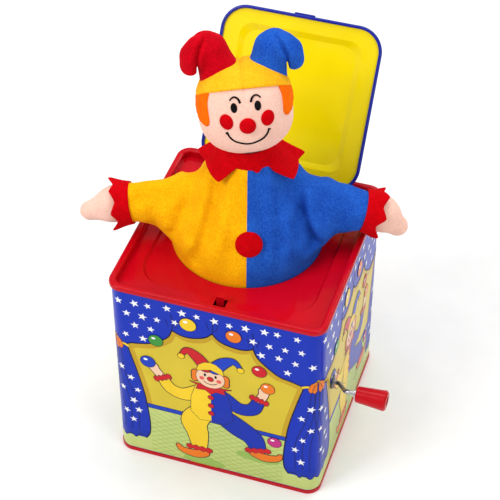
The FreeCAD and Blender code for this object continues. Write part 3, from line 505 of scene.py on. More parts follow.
def merge(a, b, soft):
    """The union of two distance fields, with a fillet about soft wide."""
    share = np.clip(0.5 + 0.5 * (b - a) / soft, 0, 1)
    return b * (1 - share) + a * share - soft * share * (1 - share)


def round_cone(space, start, end, start_radius, end_radius, squeeze=(1, 1, 1)):
    """Distance to a tapered capsule; squeeze below 1 widens it along that axis."""
    start, end = np.array(start, float), np.array(end, float)
    way = end - start
    offsets = [axis - at for axis, at in zip(space, start)]
    along = sum(o * w for o, w in zip(offsets, way)) / (way @ way)
    along = np.clip(along, 0, 1)
    gap = sum(((o - along * w) * k) ** 2 for o, w, k in zip(offsets, way, squeeze))
    return np.sqrt(gap) - (start_radius + (end_radius - start_radius) * along)


AROUND = ((1, 2), (2, 0), (0, 1))


def skin(field, low, step):
    """Points and quads of the surface where a sampled field is zero (surface nets)."""
    inside = field < 0
    cells = tuple(n - 1 for n in field.shape)
    count = np.zeros(cells, int)
    for i, j, k in np.ndindex(2, 2, 2):
        count += inside[i:cells[0] + i, j:cells[1] + j, k:cells[2] + k]
    mixed = (count > 0) & (count < 8)
    where = np.argwhere(mixed)
    index = np.full(cells, -1)
    index[mixed] = np.arange(len(where))
    total, hits = np.zeros((len(where), 3)), np.zeros(len(where))
    for axis, (first, second) in enumerate(AROUND):
        for i, j in np.ndindex(2, 2):
            start = where.copy()
            start[:, first] += i
            start[:, second] += j
            end = start.copy()
            end[:, axis] += 1
            near, far = field[tuple(start.T)], field[tuple(end.T)]
            crossed = (near < 0) != (far < 0)
            point = start.astype(float)
            point[crossed, axis] += (near / np.where(crossed, near - far, 1))[crossed]
            total[crossed] += point[crossed]
            hits[crossed] += 1
    points = total / hits[:, None] * step + np.array(low)
    faces = []
    for axis, (first, second) in enumerate(AROUND):
        near = inside.take(range(inside.shape[axis] - 1), axis)
        far = inside.take(range(1, inside.shape[axis]), axis)
        edges = np.argwhere(near != far)
        edges = edges[(edges[:, first] > 0) & (edges[:, second] > 0)]
        edges = edges[(edges[:, first] < cells[first]) & (edges[:, second] < cells[second])]
        corners = []
        for i, j in ((-1, -1), (0, -1), (0, 0), (-1, 0)):
            cell = edges.copy()
            cell[:, first] += i
            cell[:, second] += j
            corners.append(index[tuple(cell.T)])
        quads = np.stack(corners, 1)
        outward = near[tuple(edges.T)]
        faces.append(np.where(outward[:, None], quads, quads[:, ::-1]))
    return points, np.concatenate(faces)


def relaxed(points, faces, rounds):
    """Evens out a closed mesh without shrinking it much."""
    edges = np.unique(np.sort(np.concatenate(
        [faces[:, [k, (k + 1) % 4]] for k in range(4)]), axis=1), axis=0)
    degree = np.bincount(edges.ravel(), minlength=len(points))[:, None]
    for step in range(2 * rounds):
        push = 0.5 if step % 2 == 0 else -0.51
        near = np.zeros_like(points)
        np.add.at(near, edges[:, 0], points[edges[:, 1]])
        np.add.at(near, edges[:, 1], points[edges[:, 0]])
        points = points + push * (near / degree - points)
    return points


def hermite(x, knots, values):
    """A smooth curve through (knot, value) pairs, flat beyond both ends."""
    knots, values = np.array(knots, float), np.array(values, float)
    slopes = np.gradient(values, knots)
    x = np.clip(x, knots[0], knots[-1])
    k = np.clip(np.searchsorted(knots, x, side="right") - 1, 0, len(knots) - 2)
    wide = knots[k + 1] - knots[k]
    t = (x - knots[k]) / wide
    return (
        values[k] * (1 + 2 * t) * (1 - t) ** 2 + wide * slopes[k] * t * (1 - t) ** 2
        + values[k + 1] * t * t * (3 - 2 * t) + wide * slopes[k + 1] * t * t * (t - 1)
    )


# ---- the tunic

CUT = 47  # how far across the tunic gives way to the sleeves
SEAM = 0.6  # where its two halves meet
HEM_Z, NECK_Z, SLEEVE_OUT = 6, 222, 76
SLEEVES = {
    -1: [((18, 0, 186), 15.8), ((50, 1, 178.4), 14.5), ((78, 0, 176), 12.8)],
    1: [((18, 0, 193.5), 15), ((50, 1, 179), 15.6), ((78, 0, 173), 12.8)],
}
FOLDS = (  # a run of (across, up) points in front, how deep and how wide
    ([(26, 224), (29.5, 204), (33.5, 186), (41, 168)], 6.5, 4.0),
    ([(-12, 224), (-18, 204), (-24, 182), (-31, 158)], 4.6, 4.5),
    ([(-36, 200), (-37, 186), (-45, 168)], 3.6, 5),
    ([(31, 186), (31, 168), (31.5, 150)], 1.8, 2.6),
    ([(7, 224), (9.5, 200), (11, 160)], 1.3, 3.5),
    ([(19, 224), (21, 200), (21, 158)], 1.8, 3.5),
    ([(-4, 224), (-8, 196), (-11, 158)], 1.1, 3.5),
    ([(50, 190), (57, 180), (55, 166)], 1.7, 4),
    ([(-53, 190), (-59, 180), (-57, 166)], 1.7, 4),
    ([(44, 196), (60, 187), (74, 184)], 1.0, 3),
    ([(-44, 194), (-60, 187), (-74, 185)], 1.0, 3),
)


def soft_noise(space, grain, seed):
    """Smooth noise from -1 to 1 over a grid, from a few sums of waves in seeded directions."""
    random = np.random.default_rng(seed)
    total = np.zeros_like(space[0])
    for _ in range(9):
        way = random.normal(size=3)
        way *= 2 * pi / (grain * random.uniform(0.7, 1.6)) / np.linalg.norm(way)
        total += np.sin(sum(axis * w for axis, w in zip(space, way)) + random.uniform(0, 2 * pi))
    return total / 4


def path_gap(u, z, path):
    """Distance in the front view to a run of points."""
    gap = None
    for (ax, az), (bx, bz) in zip(path, path[1:]):
        wx, wz = bx - ax, bz - az
        along = np.clip(((u - ax) * wx + (z - az) * wz) / (wx * wx + wz * wz), 0, 1)
        here = np.hypot(u - ax - along * wx, z - az - along * wz)
        gap = here if gap is None else np.minimum(gap, here)
    return gap


def tunic_field(space):
    """Distance to the cloth: a gathered cone on the spring, a web of cloth and two sleeves."""
    u, back, z = space
    depth = hermite(
        z, (0, 120, 143, 150, 157, 166, 178, 190, 202, 214, 221, 230),
        (41.5, 41.5, 45.6, 46.4, 45.8, 43.0, 37.8, 32.6, 27.4, 22.2, 19, 16),
    )
    web = np.clip((z - 153) / 18, 0, 1) ** 1.2 * np.clip((206 - z) / 26, 0, 1)
    width = depth + np.where(u < 0, 13, 16) * web + np.where(u < 0, 2.6, 2.0) * np.exp(-((z - 151) / 8) ** 2)
    radial = np.hypot(u / width, back / depth)
    field = (radial - 1) * np.minimum(width, depth) * 0.92
    for side, joints in SLEEVES.items():
        path = [(np.array((side * at[0], at[1], at[2])), r) for at, r in joints]
        sleeve = None
        for (a, ra), (b, rb) in zip(path, path[1:]):
            tube = round_cone(space, a, b, ra, rb, (1, 1.08, 1))
            sleeve = tube if sleeve is None else merge(sleeve, tube, 3)
        soft = 6 + 12 * np.clip((184 - z) / 18, 0, 1) + (9 if side < 0 else 3) * np.clip((z - 188) / 10, 0, 1)
        field = merge(field, sleeve, soft)
    rise = np.clip((z - 150) / 22, 0, 1)
    flat_u, flat_z = u[:, 0, :], z[:, 0, :]
    for path, deep, wide in FOLDS:
        for face, share in ((-1, 1), (1, -0.93)):
            gap = path_gap(flat_u * share, flat_z, path) / wide
            press = deep * (np.exp(-gap ** 2) - 0.22 * np.exp(-((gap - 2) / 1.1) ** 2))
            facing = np.clip((face * back - 1) / 11, 0, 1)
            field = field + press[:, None, :] * rise * facing
    return field + rise * (0.5 * soft_noise(space, 24, 4) + 0.22 * soft_noise(space, 11, 8))


def split_piece(points, normals, faces, keep, name, slot, body=None, nodes=()):
    """The faces of a larger mesh that keep chooses, as a piece that shades like the whole."""
    chosen = faces[keep]
    used, inverse = np.unique(chosen, return_inverse=True)
    obj = add_piece(name, points[used], inverse.reshape(chosen.shape), slot, CLOWN_M, body, nodes)
    turn = CLOWN.to_3x3()
    obj.data.normals_split_custom_set_from_vertices([turn @ Vector(n) for n in normals[used]])
    return obj


def cut_along(points, faces, axis, place):
    """Moves the nearest points onto a plane across an axis, so that faces divide along it."""
    middles = points[faces].mean(axis=1)[:, axis]
    low_side = middles < place
    shared = np.intersect1d(np.unique(faces[low_side]), np.unique(faces[~low_side]))
    points[shared, axis] = place
    return points


def vertex_normals(points, faces):
    a, b, c, d = (points[faces[:, k]] for k in range(4))
    flat = np.cross(c - a, d - b)
    out = np.zeros_like(points)
    for k in range(4):
        np.add.at(out, faces[:, k], flat)
    return out / np.linalg.norm(out, axis=1)[:, None]


def make_tunic():
    low, high, step = (-80, -52, 2), (80, 52, 232), 1.6
    space = sample(low, high, step)
    points, faces = skin(tunic_field(space), low, step)
    points = relaxed(points, faces, 4)
    across = [(0, place) for place in (SEAM, -CUT, CUT)]
    for axis, place in across + [(2, HEM_Z), (2, NECK_Z), (0, -SLEEVE_OUT), (0, SLEEVE_OUT)]:
        points = cut_along(points, faces, axis, place)
    seam = np.exp(-((points[:, 0] - SEAM) / 0.9) ** 2)
    normals = vertex_normals(points, faces)
    points = points - normals * (0.55 * seam * (points[:, 2] > HEM_Z))[:, None]
    normals = vertex_normals(points, faces)
    u, _, z = points[faces].mean(axis=1).T
    shown = (z > HEM_Z) & (z < NECK_Z) & (abs(u) < SLEEVE_OUT)
    for name, slot, half, node in (
        ("tunic_left", "yellow_velour", (u < SEAM) & (u > -CUT), "tunic_left_half"),
        ("tunic_right", "blue_velour", (u > SEAM) & (u < CUT), "tunic_right_half"),
    ):
        obj = split_piece(points, normals, faces, shown & half, name, slot, "root", [node])
        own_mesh(obj)
    for name, slot, half, side in (
        ("left", "yellow_velour", u < -CUT, -1), ("right", "blue_velour", u > CUT, 1),
    ):
        obj = split_piece(points, normals, faces, shown & half, f"sleeve_cloth_{name}", slot)
        start, end = (CLOWN_M @ Vector((side * at, 0, 181)) for at in (CUT, 69))
        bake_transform(obj)
        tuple(start)
        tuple(end)
        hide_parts(f"sleeve_{name}")


# ---- collar, button, cuffs, hands

COLLAR_EDGE = (  # degrees round from the front, distance out and height, tips and dips in turn
    (-40, 26.5, 213, 1), (-20, 19.1, 221.5, 0), (17, 20.2, 218.8, 1), (37, 19.4, 221, 0), (63, 32.2, 212, 1),
    (94, 31.5, 212, 0), (106, 36.8, 212, 1), (124, 26, 216, 0), (146, 34, 212, 1), (164, 25, 217, 0),
    (182, 33, 212, 1), (200, 25, 217, 0), (218, 34, 212, 1), (236, 26, 216, 0), (253, 33, 213, 1),
    (276, 26, 213.5, 0),
)


def tunic_top(points):
    """The height of the tunic's cloth under points across and back, below the chin."""
    heights = np.arange(236, 196, -0.4)
    across, back = (
        np.array([p[k] for p in points])[:, None, None] + np.zeros((1, 1, len(heights))) for k in (0, 1)
    )
    field = tunic_field((across, back, np.broadcast_to(heights, across.shape)))[:, 0, :]
    hit = field < 0.9
    return np.where(hit.any(axis=1), np.minimum(heights[np.argmax(hit, axis=1)], 221.5), heights[-1])


def make_collar():
    rows, per = 11, 12
    edge = []
    for k, (at, out, z, tip) in enumerate(COLLAR_EDGE):
        to, far, low, _ = COLLAR_EDGE[(k + 1) % len(COLLAR_EDGE)]
        to += 360 if to < at else 0
        for step in range(per):
            t = step / per
            share = 1 - (1 - t) ** 1.3 if tip else t ** 1.3
            edge.append((radians(at + (to - at) * t), out + (far - out) * share, z + (low - z) * share))
    neck, chin = 15, 231.5
    flat, heights = [], []
    for row in range(rows):
        t = row / (rows - 1)
        for turn, out, z in edge:
            radius = neck + (out - neck) * t
            flat.append((radius * sin(turn), -radius * cos(turn)))
            ripple = 1.1 * sin(4 * turn + 0.8) + 0.5 * sin(9 * turn)
            heights.append(chin + (z - chin) * t ** 0.85 + 0.6 * ripple * t)
    ground = tunic_top(flat)
    points = [(u, back, max(low + 0.9, z)) for (u, back), low, z in zip(flat, ground, heights)]
    faces = tube_faces(rows, len(edge))
    obj = add_piece("collar_ruff", points, faces, "red_felt", CLOWN_M, "clown_head", ["collar"])
    thicken(obj, 1.4)
    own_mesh(obj)
    # cut flat, each point is as far from the neck hole as it now lies down the slope
    cut = [(turn, neck + hypot(out - neck, chin - z)) for turn, out, z in edge]
    outer = [(far * sin(turn), far * cos(turn)) for turn, far in cut]
    area = 0.5 * abs(sum(a[0] * b[1] - b[0] * a[1] for a, b in zip(outer, outer[1:] + outer[:1])))
    area -= pi * neck ** 2


def dome(radius, tall, lip, rings=7, around=28):
    """Points and faces of a round cushion on the plane z = 0, closed underneath."""
    profile = [(radius * sin(radians(a)) ** 0.9, tall * cos(radians(a)) ** 0.8)
               for a in np.linspace(4, 90, rings)]
    profile.append((radius * 0.96, -lip))
    points = [(out * cos(turn), out * sin(turn), up) for out, up in profile for turn in turns(around)]
    last = (len(profile) - 1) * around
    ends = [tuple(range(around)), tuple(reversed(range(last, last + around)))]
    return points, tube_faces(len(profile), around, flip=True) + ends


def make_button():
    facing = Vector((0.03, -1, 0.42)).normalized()
    spot = Vector((2, -38.2, 177.8))
    place = CLOWN_M @ Matrix.Translation(spot) @ facing.to_track_quat("Z", "Y").to_matrix().to_4x4()
    points, faces = dome(8.6, 1.9, 1.2)
    add_piece("button_felt", points, faces, "red_felt", place, "clown_chest", ["tummy_button"], 0.8)


PIVOT_OUT, CUFF_OUT, HAND_OUT = 44, 73.6, 84.5  # how far across each lies from the clown's middle


def make_arm(name, side, droop, shift, tip, tip_radius):
    """A cuff and a hand, in a space with X out along the arm from its pivot and Z up across it."""
    body = f"arm_{name}"
    pivot = Vector(JOINTS[f"{name}_arm_fold"]["pos_m"])
    place = Matrix.Translation(pivot) @ ROW @ CLOWN.to_3x3().to_4x4() @ turned("Y", side * droop)
    rows, around, teeth, points = 8, 84, 7, []
    for row in range(rows):
        t = row / (rows - 1)
        for turn in turns(around):
            tooth = abs(((turn * teeth / (2 * pi) + shift) % 1) * 2 - 1)
            reach = 9.2 + 3.6 * tooth ** 1.3 + 0.9 * sin(turn * 2 + shift) + 0.5 * sin(5 * turn)
            along = CUFF_OUT - PIVOT_OUT + reach * t
            radius = 13.4 + (1.8 + 2.2 * tooth) * t ** 1.5 + 0.4 * sin(3 * turn + shift) * t
            points.append((side * along, radius * sin(turn) * 0.96, radius * cos(turn)))
    faces = tube_faces(rows, around)
    cuff = add_piece(f"cuff_felt_{name}", points, faces, "red_felt", place, body, [f"cuff_{name}"])
    thicken(cuff, 1.3)

    low, high, step = (-16, -16, -22), (40, 16, 18), 1.1
    space = sample(low, high, step)
    field = round_cone(space, (0, 0, 0), tip, 12.2, tip_radius, (1, 1.18, 1))
    wrist = round_cone(space, (-12, 0, 0), (2, 0, 0), 11, 11.6, (1, 1.1, 1))
    field = merge(field, wrist, 3) + 0.25 * soft_noise(space, 14, 11 + side)
    form, quads = skin(field, low, step)
    form = relaxed(form, quads, 3)
    normals = vertex_normals(form, quads)
    form = form - normals * (0.4 * np.exp(-(form[:, 1] / 0.7) ** 2))[:, None]
    form[:, 0] = side * (form[:, 0] + HAND_OUT - PIVOT_OUT)
    if side < 0:
        quads = quads[:, ::-1]
    add_piece(f"mitten_{name}", form, quads, "face_cloth", place, body, [f"hand_{name}"], 0.8)


# ---- the head and the hat


def head_half(z):
    """The head's half sizes across, back and up; the jaw is a little square."""
    a, b, c = HEAD_SIZE
    return a * (1 + 0.07 * clamp(-z / 20)), b, c


def skull(way):
    """The point of the head's surface in a direction from its middle."""
    a, b, c = head_half(way.z / way.length * HEAD_SIZE.z)
    p = HEAD_POWER
    return way / (abs(way.x / a) ** p + abs(way.y / b) ** p + abs(way.z / c) ** p) ** (1 / p)


def round_the_head(azimuth, z):
    """The surface point at a direction round from the front and a height."""
    turn = radians(azimuth)
    p = HEAD_POWER
    a, b, c = head_half(z)
    left = max(1 - abs(z / c) ** p, 1e-6)
    out = (left / (abs(sin(turn) / a) ** p + abs(cos(turn) / b) ** p)) ** (1 / p)
    return Vector((out * sin(turn), -out * cos(turn), z))


def on_face(x, z):
    """The surface point of the face at x and z."""
    p = HEAD_POWER
    a, b, c = head_half(z)
    left = max(1 - abs(x / a) ** p - abs(z / c) ** p, 1e-6)
    return Vector((x, -b * left ** (1 / p), z))


def head_normal(point):
    p = HEAD_POWER
    return Vector([
        copysign(abs(v / s) ** (p - 1) / s, v) for v, s in zip(point, HEAD_SIZE)
    ]).normalized()


def ball_grid(rows, around, surface):
    """Points and faces of a closed form given by a function of a unit direction."""
    points = [surface(Vector((0, 0, 1)))]
    for row in range(1, rows):
        points += [surface(direction(pi * row / rows, turn)) for turn in turns(around)]
    points.append(surface(Vector((0, 0, -1))))
    faces = [(0, 1 + k, 1 + (k + 1) % around) for k in range(around)]
    for row in range(rows - 2):
        for k in range(around):
            a, b = 1 + row * around + k, 1 + row * around + (k + 1) % around
            faces.append((a, a + around, b + around, b))
    last = len(points) - 1
    faces += [(last, last - around + (k + 1) % around, last - around + k) for k in range(around)]
    return points, faces


def head_piece(name, shape, slot, nodes=(), padded=None):
    add_piece(name, *shape, slot, HEAD, "clown_head", nodes, padded)


def hat_dip(point):
    """The valley of the cap between its horns."""
    return 2.0 * exp(-(point.x / 9) ** 2) * clamp((point.z - 16) / 9)


def make_skull():
    def surface(way):
        point = skull(way)
        groove = 0.5 * exp(-(point.x / 0.9) ** 2) * clamp((point.z - 6) / 6) + hat_dip(point)
        lump = 0.35 * noise.noise(point / 13)
        return point - head_normal(point) * (groove - lump)

    head_piece("stuffed_head", ball_grid(56, 200, surface), "face_cloth", ["head"], 0.85)
    ring, radius = 32, 12.5
    neck = [(radius * sin(turn) - 0.5, 2 - radius * cos(turn), z) for z in (214, 243) for turn in turns(ring)]
    ends = [tuple(range(ring)), tuple(reversed(range(ring, 2 * ring)))]
    faces = tube_faces(2, ring, flip=True) + ends
    add_piece("neck_tube", neck, faces, "face_cloth", CLOWN_M, "clown_head")


HAT_EDGE = ((0, 17.2), (30, 16.4), (58, 13.8), (75, 11), (95, 7.5), (130, 3), (180, 1))


def hat_edge(azimuth):
    return float(hermite(abs(azimuth), *zip(*HAT_EDGE)))


def make_crown():
    around, rows = 220, 26
    points = []
    for row in range(rows + 3):
        t = min(row / rows, 1)
        for k in range(around):
            azimuth = -180 + 360 * k / around
            rim = round_the_head(azimuth, hat_edge(azimuth))
            tilt = atan2(hypot(rim.x, rim.y), rim.z) * t
            point = skull(direction(tilt, atan2(rim.x, -rim.y)))
            lift = 1.5 + 0.25 * noise.noise(point / 9)
            lift -= 1.0 * exp(-(point.x / 0.95) ** 2) + hat_dip(point)
            if row > rows - 2:
                lift = {rows - 1: 1.35, rows: 1.1, rows + 1: 0.55, rows + 2: -0.4}[row]
            points.append(point + head_normal(point) * lift)
    head_piece("hat_cap", (points, tube_faces(rows + 3, around, flip=True)), "hat_cloth", ["hat_crown"], 0.3)


def patch(outline, tall, dish=0.0, rings=7, at=on_face, lump=0.0):
    """A felt cut-out that follows the head: outline is a closed run of points for at()."""
    outline = [np.array(point) for point in smooth_curve(outline, 5, closed=True)]
    centre = sum(outline) / len(outline)
    points = []
    for ring in range(rings + 2):
        s = min((ring + 1) / rings, 1)
        for corner in outline:
            spot = at(*(centre + (corner - centre) * s))
            up = head_normal(spot)
            height = tall * (1 - s ** 4) ** 0.5 + dish * (1 - s * s)
            height += lump * noise.noise(spot / 2.2)
            if ring >= rings - 1:
                height = {rings - 1: 0.45 * tall, rings: 0.15, rings + 1: -0.6}[ring]
            points.append(spot + up * height)
    count = len(outline)
    return points, tube_faces(rings + 2, count) + [tuple(reversed(range(count)))]


def ellipse(x, z, wide, tall, lean=0, corners=16):
    turn = radians(lean)
    out = []
    for a in turns(corners):
        dx, dz = wide * cos(a), tall * sin(a)
        out.append((x + dx * cos(turn) - dz * sin(turn), z + dx * sin(turn) + dz * cos(turn)))
    return out


def stitches(path, width, pitch):
    """Close overlapping stitches along a path on the face."""
    path = [Vector(point) for point in smooth_curve(path, 24)]
    lengths = [0.0]
    for a, b in zip(path, path[1:]):
        lengths.append(lengths[-1] + (b - a).length)
    shapes, along = [], 0.0
    while along <= lengths[-1]:
        k = max(i for i, length in enumerate(lengths) if length <= along)
        k = min(k, len(path) - 2)
        spot = path[k] + (path[k + 1] - path[k]) * ((along - lengths[k]) / (lengths[k + 1] - lengths[k]))
        ahead = (path[k + 1] - path[k]).normalized()
        point = on_face(spot.x, spot.y)
        up = head_normal(point)
        tangent = (on_face(spot.x + ahead.x, spot.y + ahead.y) - point).normalized()
        across = up.cross(tangent)
        axes = Matrix((tangent, across, up)).transposed().to_4x4()
        here = Matrix.Translation(point + up * 0.25) @ axes @ turned("Z", 28)
        size = width(along / lengths[-1]) if callable(width) else width
        ball, faces = ball_grid(6, 10, lambda way: Vector((way.x * pitch * 0.95, way.y * size, way.z * 0.42)))
        shapes.append(([here @ p for p in ball], faces))
        along += pitch
    return joined(shapes)


def horn_shape():
    low, high, step = (-4, -18, 4), (44, 18, 54), 1.1
    space = sample(low, high, step)
    main = round_cone(space, (14.2, 0, 16), (20, 0, 34), 13.8, 9.6)
    main = merge(main, round_cone(space, (20, 0, 34), (23, 0, 36.8), 9.6, 8.4), 4)
    lobe = merge(
        round_cone(space, (25.5, -3.2, 35.8), (29.2, -4, 31.6), 8.8, 8.4),
        round_cone(space, (29.2, -4, 31.6), (32.0, -3, 26.6), 8.4, 6.4), 3,
    )
    field = merge(main, lobe, 0.5) + 0.3 * soft_noise(space, 17, 3)
    crease = path_gap(space[0], space[2], [(22, 43), (25.6, 38.5), (28.2, 32), (28.2, 26), (27.4, 18)])
    press = 3.8 * np.clip((46 - space[2]) / 8, 0.3, 1) * np.clip((space[2] - 20) / 5, 0.2, 1)
    field = field + press * np.exp(-(crease / 1.25) ** 2) * np.clip((3 - space[1]) / 5, 0, 1)
    points, quads = skin(field, low, step)
    points = relaxed(points, quads, 3)
    normals = vertex_normals(points, quads)
    seam = 0.5 * np.exp(-((points[:, 1] + 0.5) / 0.8) ** 2)
    return points - normals * seam[:, None], quads


def make_head():
    make_skull()
    make_crown()
    points, quads = horn_shape()
    mirror = points * np.array((-1, 1, 1)) + np.array((2.2, 0, 2))
    points = points + np.array((-0.7, 0, -0.8))
    head_piece("horn_right", (points, quads), "blue_velour", ["hat_horn_right"], 0.85)
    head_piece("horn_left", (mirror, quads[:, ::-1]), "red_velour", ["hat_horn_left"], 0.85)
    left_hair = [
        (-53, 15.5), (-51.5, 9), (-50, 2), (-49.5, -2.5), (-52, -4.8), (-57, -5.4), (-63, -4.6), (-70, -3.8),
        (-77, -1.5), (-86, -1.5), (-95, 2), (-103, 4), (-108, 10), (-98, 12), (-75, 14),
    ]
    right_hair = [(-a, z + (2.0 if z < 6 else 0)) for a, z in left_hair][::-1]
    for name, outline in (("left", left_hair), ("right", right_hair)):
        shape = patch(outline, 1.3, at=round_the_head, lump=0.3, rings=9)
        head_piece(f"hair_felt_{name}", shape, "orange_felt", [f"hair_{name}"], 0.9)
    head_piece("nose_felt", patch(ellipse(0, -4.5, 4.9, 4.9), 1.2, 2.4, 9), "red_felt", ["nose"], 0.9)
    cheeks = [patch(ellipse(x, -1.2, 3.8, 4.8, -x), 1.2, 0.2) for x in (-12.1, 12.1)]
    head_piece("cheek_felt", joined(cheeks), "red_felt", ["cheeks"], 0.9)
    eyes = [patch(ellipse(x, 7.1, 1.9, 2.9), 0.8, 0.2, 5) for x in (-7, 7)]
    head_piece("eye_felt", joined(eyes), "black_thread", ["eyes"], 0.9)
    smile = [(-12.2, -8.1), (-11, -11.2), (-7.4, -14.6), (0, -16.8), (7.4, -14.6), (11, -11.2), (12.2, -8.1)]
    ticks = [[(-12.8, -8.5), (-11.7, -8.1)], [(12.8, -8.5), (11.7, -8.1)]]
    shapes = [stitches(smile, 0.6, 0.85)] + [stitches(tick, 0.5, 0.7) for tick in ticks]
    head_piece("smile_stitches", joined(shapes), "black_thread", ["smile_thread"])
    brows = []
    for side in (-1, 1):
        arc = [(side * 3.3, 10.1), (side * 4.1, 12.0), (side * 6.0, 13.2), (side * 7.8, 12.7), (side * 9.2, 11.2)]
        brows.append(stitches(arc, lambda t: 0.8 - 0.4 * t, 0.7))
    head_piece("brow_stitches", joined(brows), "black_thread")


def make_spring():
    """The coil that carries the head; it lies hidden in the tunic."""
    low, high = span("main_spring")
    coil = (high.x - low.x) / 2
    wire, coils, per, ring = 1.1, 8, 48, 8
    centre = (low + high) / 2
    points = []
    steps = coils * per
    for k in range(steps + 1):
        t = k / steps
        turn = 2 * pi * coils * t
        z = low.z + wire + (high.z - low.z - 2 * wire) * t
        out = Vector((cos(turn), sin(turn), 0))
        middle = Vector((centre.x, centre.y, z))
        points += [
            middle + out * (coil - wire + wire * cos(a)) + Vector((0, 0, wire * sin(a)))
            for a in turns(ring)
        ]
    faces = tube_faces(steps + 1, ring, flip=True)
    obj = add_piece("spring_coil", points, faces, "spring_steel", ROW, "root", ["main_spring"])
    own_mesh(obj)


# ---- the print on the tin

FLAT, CORNER, HALF = 61, 9, 70  # half a wall's flat width, its corners' radius, half the box
ARC = CORNER * pi / 2
EDGE = FLAT + ARC / 2  # the middle of a corner, measured along the wall
FLOOR_LOW, PRINT_TOP = 3.4, 151
INKS = {
    "yellow": (220, 194, 52), "ochre": (202, 162, 32), "green": (200, 213, 126), "leaf": (158, 190, 92),
    "blue": (22, 62, 190), "navy": (22, 32, 108), "white": (246, 247, 250), "line": (32, 26, 46),
    "orange": (238, 122, 28), "red": (206, 22, 34), "magenta": (196, 44, 128), "grass": (62, 150, 60),
    "gold": (246, 206, 40), "royal": (10, 46, 174), "peach": (248, 206, 172), "rose": (232, 96, 88),
}


def disc(x, z, radius, tall=None, corners=20):
    return ellipse(x, z, radius, tall or radius, corners=corners)


def star(x, z, radius, lean=0.0):
    out = []
    for k in range(10):
        a = pi * (0.5 + k / 5) + lean
        r = radius * (0.42 if k % 2 else 1)
        out.append((x + r * cos(a), z + r * sin(a)))
    return out


def spread(path, width):
    return [width] * len(path) if isinstance(width, (int, float)) else width


def ribbon(path, width, steps=6):
    """The outline of a line of changing width, round at its ends: width is a number or one number a point."""
    widths = spread(path, width)
    line = smooth_curve([(x, z, w) for (x, z), w in zip(path, widths)], steps)
    left, right = [], []
    for k, (x, z, w) in enumerate(line):
        ahead, behind = line[min(k + 1, len(line) - 1)], line[max(k - 1, 0)]
        way = np.array((ahead[0] - behind[0], ahead[1] - behind[1]))
        way = way / (np.linalg.norm(way) or 1)
        left.append((x - way[1] * w / 2, z + way[0] * w / 2))
        right.append((x + way[1] * w / 2, z - way[0] * w / 2))

    def cap(at, from_point):
        x, z, w = at
        first = atan2(from_point[1] - z, from_point[0] - x)
        return [(x + w / 2 * cos(first - pi * k / 6), z + w / 2 * sin(first - pi * k / 6))
                for k in range(1, 6)]

    return left + cap(line[-1], left[-1]) + right[::-1] + cap(line[0], right[0])


class Print:
    """Flat shapes by ink, laid in layers a few hundredths of a millimetre apart."""

    def __init__(self):
        self.inks = {}
        self.blocked = []

    def fill(self, name, outline, layer):
        self.inks.setdefault(name, []).append((layer, [tuple(p[:2]) for p in outline]))

    def shape(self, name, outline, layer, edge=0.7):
        """A filled shape with a dark line round it."""
        self.line(outline + outline[:1], edge, layer, steps=1)
        self.fill(name, outline, layer + 0.5)

    def limb(self, name, path, width, layer, edge=1.2):
        widths = spread(path, width)
        self.fill("line", ribbon(path, [w + edge for w in widths]), layer)
        self.fill(name, ribbon(path, widths), layer + 0.5)

    def line(self, path, width, layer, name="line", steps=4):
        points = smooth_curve([tuple(p[:2]) for p in path], steps)
        for a, b in zip(points, points[1:]):
            if np.hypot(*(b - a)) > 1e-6:
                self.fill(name, ribbon([a, b], width, steps=1), layer)


def encloses(outline, point):
    x, z = point
    hit = False
    for (ax, az), (bx, bz) in zip(outline, outline[1:] + outline[:1]):
        if (az > z) != (bz > z) and x < (bx - ax) * (z - az) / (bz - az) + ax:
            hit = not hit
    return hit


ARCH = [
    [(-60.5, 104.2), (-56.5, 106.8), (-51.7, 107.8), (-43, 110.6), (-35.6, 115.6), (-30.5, 120.6), (-27.9, 127.2)],
    [(-27.9, 127.2), (-23, 124.8), (-17.4, 124.1), (-11.4, 125.3), (-5.5, 128), (-1.2, 132.6)],
    [(-1.2, 132.6), (2, 128.6), (6.3, 126), (11, 124.8), (15.6, 124.3), (21, 125), (25.6, 127.3)],
    [(25.6, 127.3), (28, 121), (32, 116.4), (38, 111.2), (43.7, 107.6), (51, 106), (59, 103.7)],
]
CURTAIN = [(59, 103.7), (54, 84), (50, 66), (48, 52), (46.5, 35), (47, 22), (50, 16)]
HEM = [(50, 16), (54, 18.5), (57.5, 14.5), (61, 17.5), (65, 14), (68, 16.5)]


def mirrored(path, side=-1):
    return [(side * x, z) for x, z in path]


